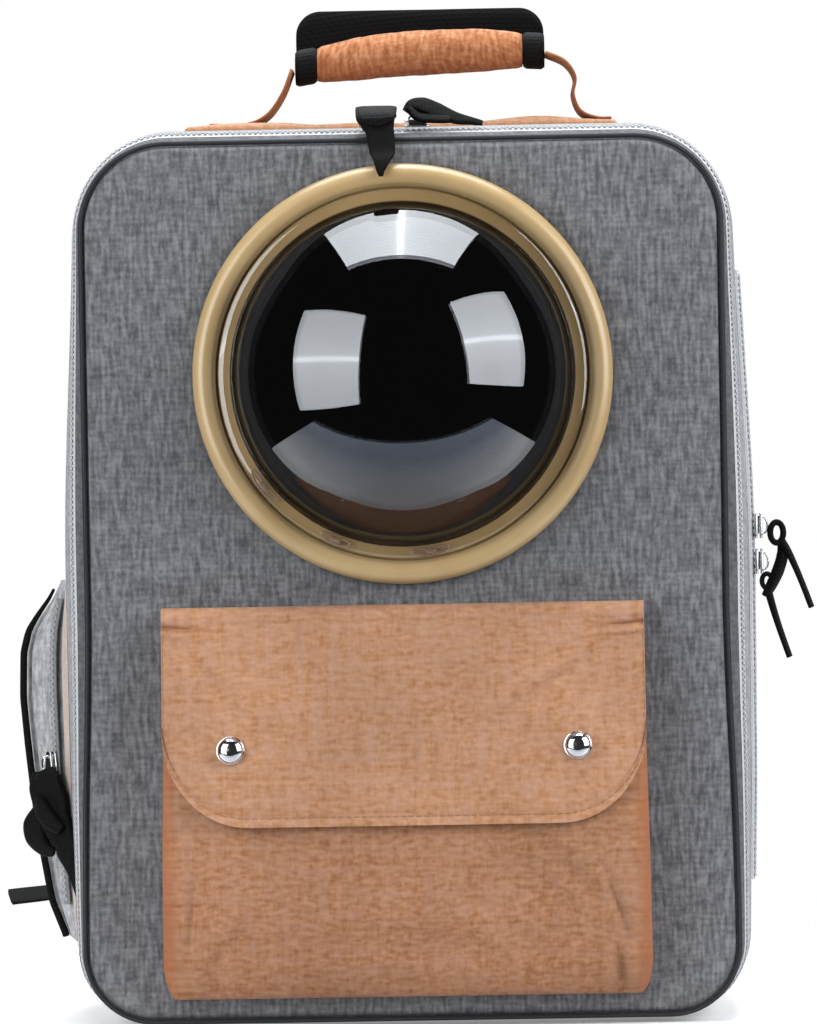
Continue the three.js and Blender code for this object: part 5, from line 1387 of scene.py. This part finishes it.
def make_back_strap(side, sign):
    """A pad that bows out from the back, its ladder lock, the webbing below it and the loose tail."""
    back = BACK_FACE + GAP
    across = np.array([1.0, 0, 0])
    out, bow, up, wide, thick = PAD_ROWS.T
    rows = np.stack([sign * SEAM_HALF * out, back + 5 + 42 * bow, BODY_TOP * up, 60 * wide, 10 * thick], 1)
    path = spline(rows[:, :3], 90)
    at = np.linspace(0, 6, 90)
    width = np.interp(at, range(7), rows[:, 3])
    wall = np.interp(at, range(7), rows[:, 4])
    s_way, n_way = frames(path, across)
    pad = piece(f"shoulder_strap_{side}", tube(path, s_way, n_way, width, wall, 3.2, 40), "grey", merge=True)
    outer = np.sign(n_way[45][1]) * n_way * (wall / 2 - 0.2)[:, None]
    edge_rows = []
    for edge in (-1, 1):
        line = path + s_way * (edge * (width / 2 - 5))[:, None] + outer
        edge_rows.append(stitches(line[3:-3], np.abs(n_way[3:-3]) * [0, 1, 1]))
    piece(f"strap_stitches_{side}", gather(*edge_rows), "grey thread")

    end, before = rows[-1, :3], rows[-2, :3]
    way = (end - before) / np.linalg.norm(end - before)
    face = np.cross(across, way)
    face = face * np.sign(face[1])

    def onward(reach):
        """The point at a distance past the end."""
        return end + way * reach

    parts = []
    for x_off in (-14.2, 14.2):
        path = np.stack([onward(GAP + r) + across * x_off for r in np.linspace(0, LOCK_LENGTH, 12)])
        parts.append(tube(path, *frames(path, across), 3.6, 4.5, 4.0, 14))
    for reach, high in ((1.6, 4.4), (9.5, 3.0), (17.2, 4.2)):
        path = onward(GAP + reach) + across * np.linspace(-14, 14, 12)[:, None]
        parts.append(tube(path, *frames(path, way), 3.0, high, 4.0, 14))
    piece(f"ladder_lock_{side}", gather(*parts), "plastic", merge=True)

    foot = np.array([sign * SEAM_HALF * 0.81, back + 1, 22.0])
    bend = onward(2 * GAP + LOCK_LENGTH * 1.4)
    low = bend + (foot - bend) * 0.62
    low[1] = back + (bend[1] - back) * 0.22
    rows = [(*p, *WEBBING) for p in (onward(8.0), onward(2 * GAP + LOCK_LENGTH), bend, low, foot)]
    piece(f"lower_webbing_{side}", strip(rows, across, 80), "black", merge=True)

    lift = (4.5 + 2) / 2 + 0.7
    on_lock = [onward(GAP + LOCK_LENGTH * s) + face * lift for s in (0.2, 0.65, 1)]
    beyond = {
        "left": [(6, 1.5, 15), (22, 1, 41), (45, -2, 57), (73, -8, 63), (102, -13, 66)],
        "right": [(2.4, 0, 15), (5, -1, 51), (6, -1.5, 83)],
    }[side]
    points = on_lock + [on_lock[-1] + [sign * a, b, -c] for a, b, c in beyond]
    rows = [(*p, *WEBBING) for p in points]
    turn = (0, 0.97, 0.24) if side == "left" else None
    shape = strip(rows, across, 90, turn, 0.42)
    piece(f"strap_tail_{side}", shape, "black", merge=True)


# Camera, lights and floor

def aim(thing, place, target):
    """Puts a thing at a place and turns it to look at the target."""
    thing.location = place
    thing.rotation_euler = (Vector(target) - Vector(place)).to_track_quat("-Z", "Y").to_euler()


def make_camera():
    """The camera stands 2.2 m in front of the seam, a little right of the middle, and is rolled one
    degree."""
    data = bpy.data.cameras.new("camera")
    data.sensor_fit = "AUTO"
    data.sensor_width = 36
    focal_pixels, picture_high = 4712, 1024
    data.lens = focal_pixels * data.sensor_width / picture_high
    data.clip_start, data.clip_end = 0.05, 50
    camera = bpy.data.objects.new("camera", data)
    bpy.context.scene.collection.objects.link(camera)
    look = Vector((-math.tan(math.radians(0.8)), 1, math.tan(math.radians(0.6)))).normalized()
    roll_angle = math.radians(1.0)
    up = Vector((math.sin(roll_angle), 0, math.cos(roll_angle)))
    right = look.cross(up).normalized()
    up = right.cross(look)
    turn = Matrix((right, up, -look)).transposed().to_4x4()
    camera.matrix_world = Matrix.Translation((0.0323, -2.3, 0.216)) @ turn
    bpy.context.scene.camera = camera


def softbox(name, place, target, width, height, glow, seam, tint=(0.97, 1.0, 1.03)):
    """A rectangular light whose face has the given glow, with a brighter seam across its middle."""
    data = bpy.data.lights.new(name, "AREA")
    data.shape = "RECTANGLE"
    data.size, data.size_y = width, height
    data.energy = glow * math.pi * width * height
    data.color = tint
    data.use_nodes = True
    tree = data.node_tree
    at = tree.nodes.new("ShaderNodeNewGeometry").outputs["Parametric"]
    apart = tree.nodes.new("ShaderNodeSeparateXYZ")
    tree.links.new(at, apart.inputs[0])
    glare = tree.nodes.new("ShaderNodeFloatCurve")
    tree.links.new(apart.outputs[seam], glare.inputs["Value"])
    curve = glare.mapping.curves[0]
    for share, level in ((0.3, 0.36), (0.46, 0.42), (0.5, 0.62), (0.54, 0.42), (0.7, 0.36)):
        curve.points.new(share, level)
    curve.points[0].location = (0.0, 0.32)
    curve.points[-1].location = (1.0, 0.32)
    glare.mapping.update()
    lift = tree.nodes.new("ShaderNodeMath")
    lift.operation = "MULTIPLY"
    lift.inputs[1].default_value = 2.7
    tree.links.new(glare.outputs[0], lift.inputs[0])
    tree.links.new(lift.outputs[0], tree.nodes["Emission"].inputs["Strength"])
    light = bpy.data.objects.new(name, data)
    bpy.context.scene.collection.objects.link(light)
    aim(light, place, target)
    light.visible_camera = False


def make_studio():
    """Three softboxes that the dome mirrors, two weak ones behind, a pale table and a white surround that is
    dark to mirrors."""
    target = (0, -0.12, 0.3035)
    softbox("left softbox", (-0.56, -0.67, 0.41), target, 0.62, 0.78, 4.85, 1)
    softbox("right softbox", (0.64, -0.51, 0.53), target, 0.6, 0.7, 5.6, 1)
    softbox("top softbox", (0, 0.28, 1.45), (0, 0.2, 0.3), 1.2, 1.5, 7.7, 0)
    softbox("back left", (-1.1, 1.2, 0.9), (0, 0.1, 0.2), 0.8, 0.8, 3.2, 0)
    softbox("back right", (1.1, 1.2, 0.9), (0, 0.1, 0.2), 0.8, 0.8, 3.2, 0)

    mesh = bpy.data.meshes.new("table")
    left, right, near, far = -0.58, 0.58, -0.47, 0.42
    corners = [(left, near), (right, near), (right, far), (left, far)]
    mesh.from_pydata([(x, y, -0.0008) for x, y in corners], [], [(0, 1, 2, 3)])
    n = Nodes("pale table")
    grain = n.noise(n.place(4.0), 2.0)
    pale = n.mix(n.spread(grain, 0.3, 0.7), (0.8, 0.8, 0.8), (0.84, 0.84, 0.84))
    back = n.add("SeparateXYZ", output=1, inputs={0: n.add("TexCoord", output="Object")})
    n.set(Base_Color=n.mix(n.spread(back, -0.36, -0.12), (0.31, 0.34, 0.4), pale), Roughness=0.7)
    n.set(Emission_Color=(1, 1, 1, 1), Emission_Strength=n.spread(back, -0.2, 0.05, 0.0, 0.4))
    mesh.materials.append(n.material)
    table = bpy.data.objects.new("table", mesh)
    bpy.context.scene.collection.objects.link(table)

    world = bpy.data.worlds.new("surround")
    bpy.context.scene.world = world
    world.use_nodes = True
    tree = world.node_tree
    sky = tree.nodes["Background"]
    sky.inputs["Strength"].default_value = 1.0
    path = tree.nodes.new("ShaderNodeLightPath")
    shade = tree.nodes.new("ShaderNodeMix")
    shade.data_type = "RGBA"
    shade.inputs[6].default_value = (0.1, 0.1, 0.102, 1)
    shade.inputs[7].default_value = (0.03, 0.03, 0.031, 1)
    tree.links.new(path.outputs["Is Glossy Ray"], shade.inputs[0])
    mix = tree.nodes.new("ShaderNodeMix")
    mix.data_type = "RGBA"
    mix.inputs[7].default_value = (1, 1, 1, 1)
    tree.links.new(shade.outputs[2], mix.inputs[6])
    tree.links.new(path.outputs["Is Camera Ray"], mix.inputs[0])
    tree.links.new(mix.outputs[2], sky.inputs["Color"])
    bpy.context.scene.view_settings.view_transform = "Standard"


make_camera()
make_front_panel()
make_piping("front_piping", 0.0, FRONT_Y)
make_side_walls()
make_piping("rear_piping", BODY_DEPTH, FRONT_Y + BODY_DEPTH)
make_back_panel()
make_lining()
make_window()
make_pocket()
make_flap()
make_handle()
make_top_zips()
make_right_side()
make_side_pocket()
make_back_strap("left", -1)
make_back_strap("right", 1)
make_studio()
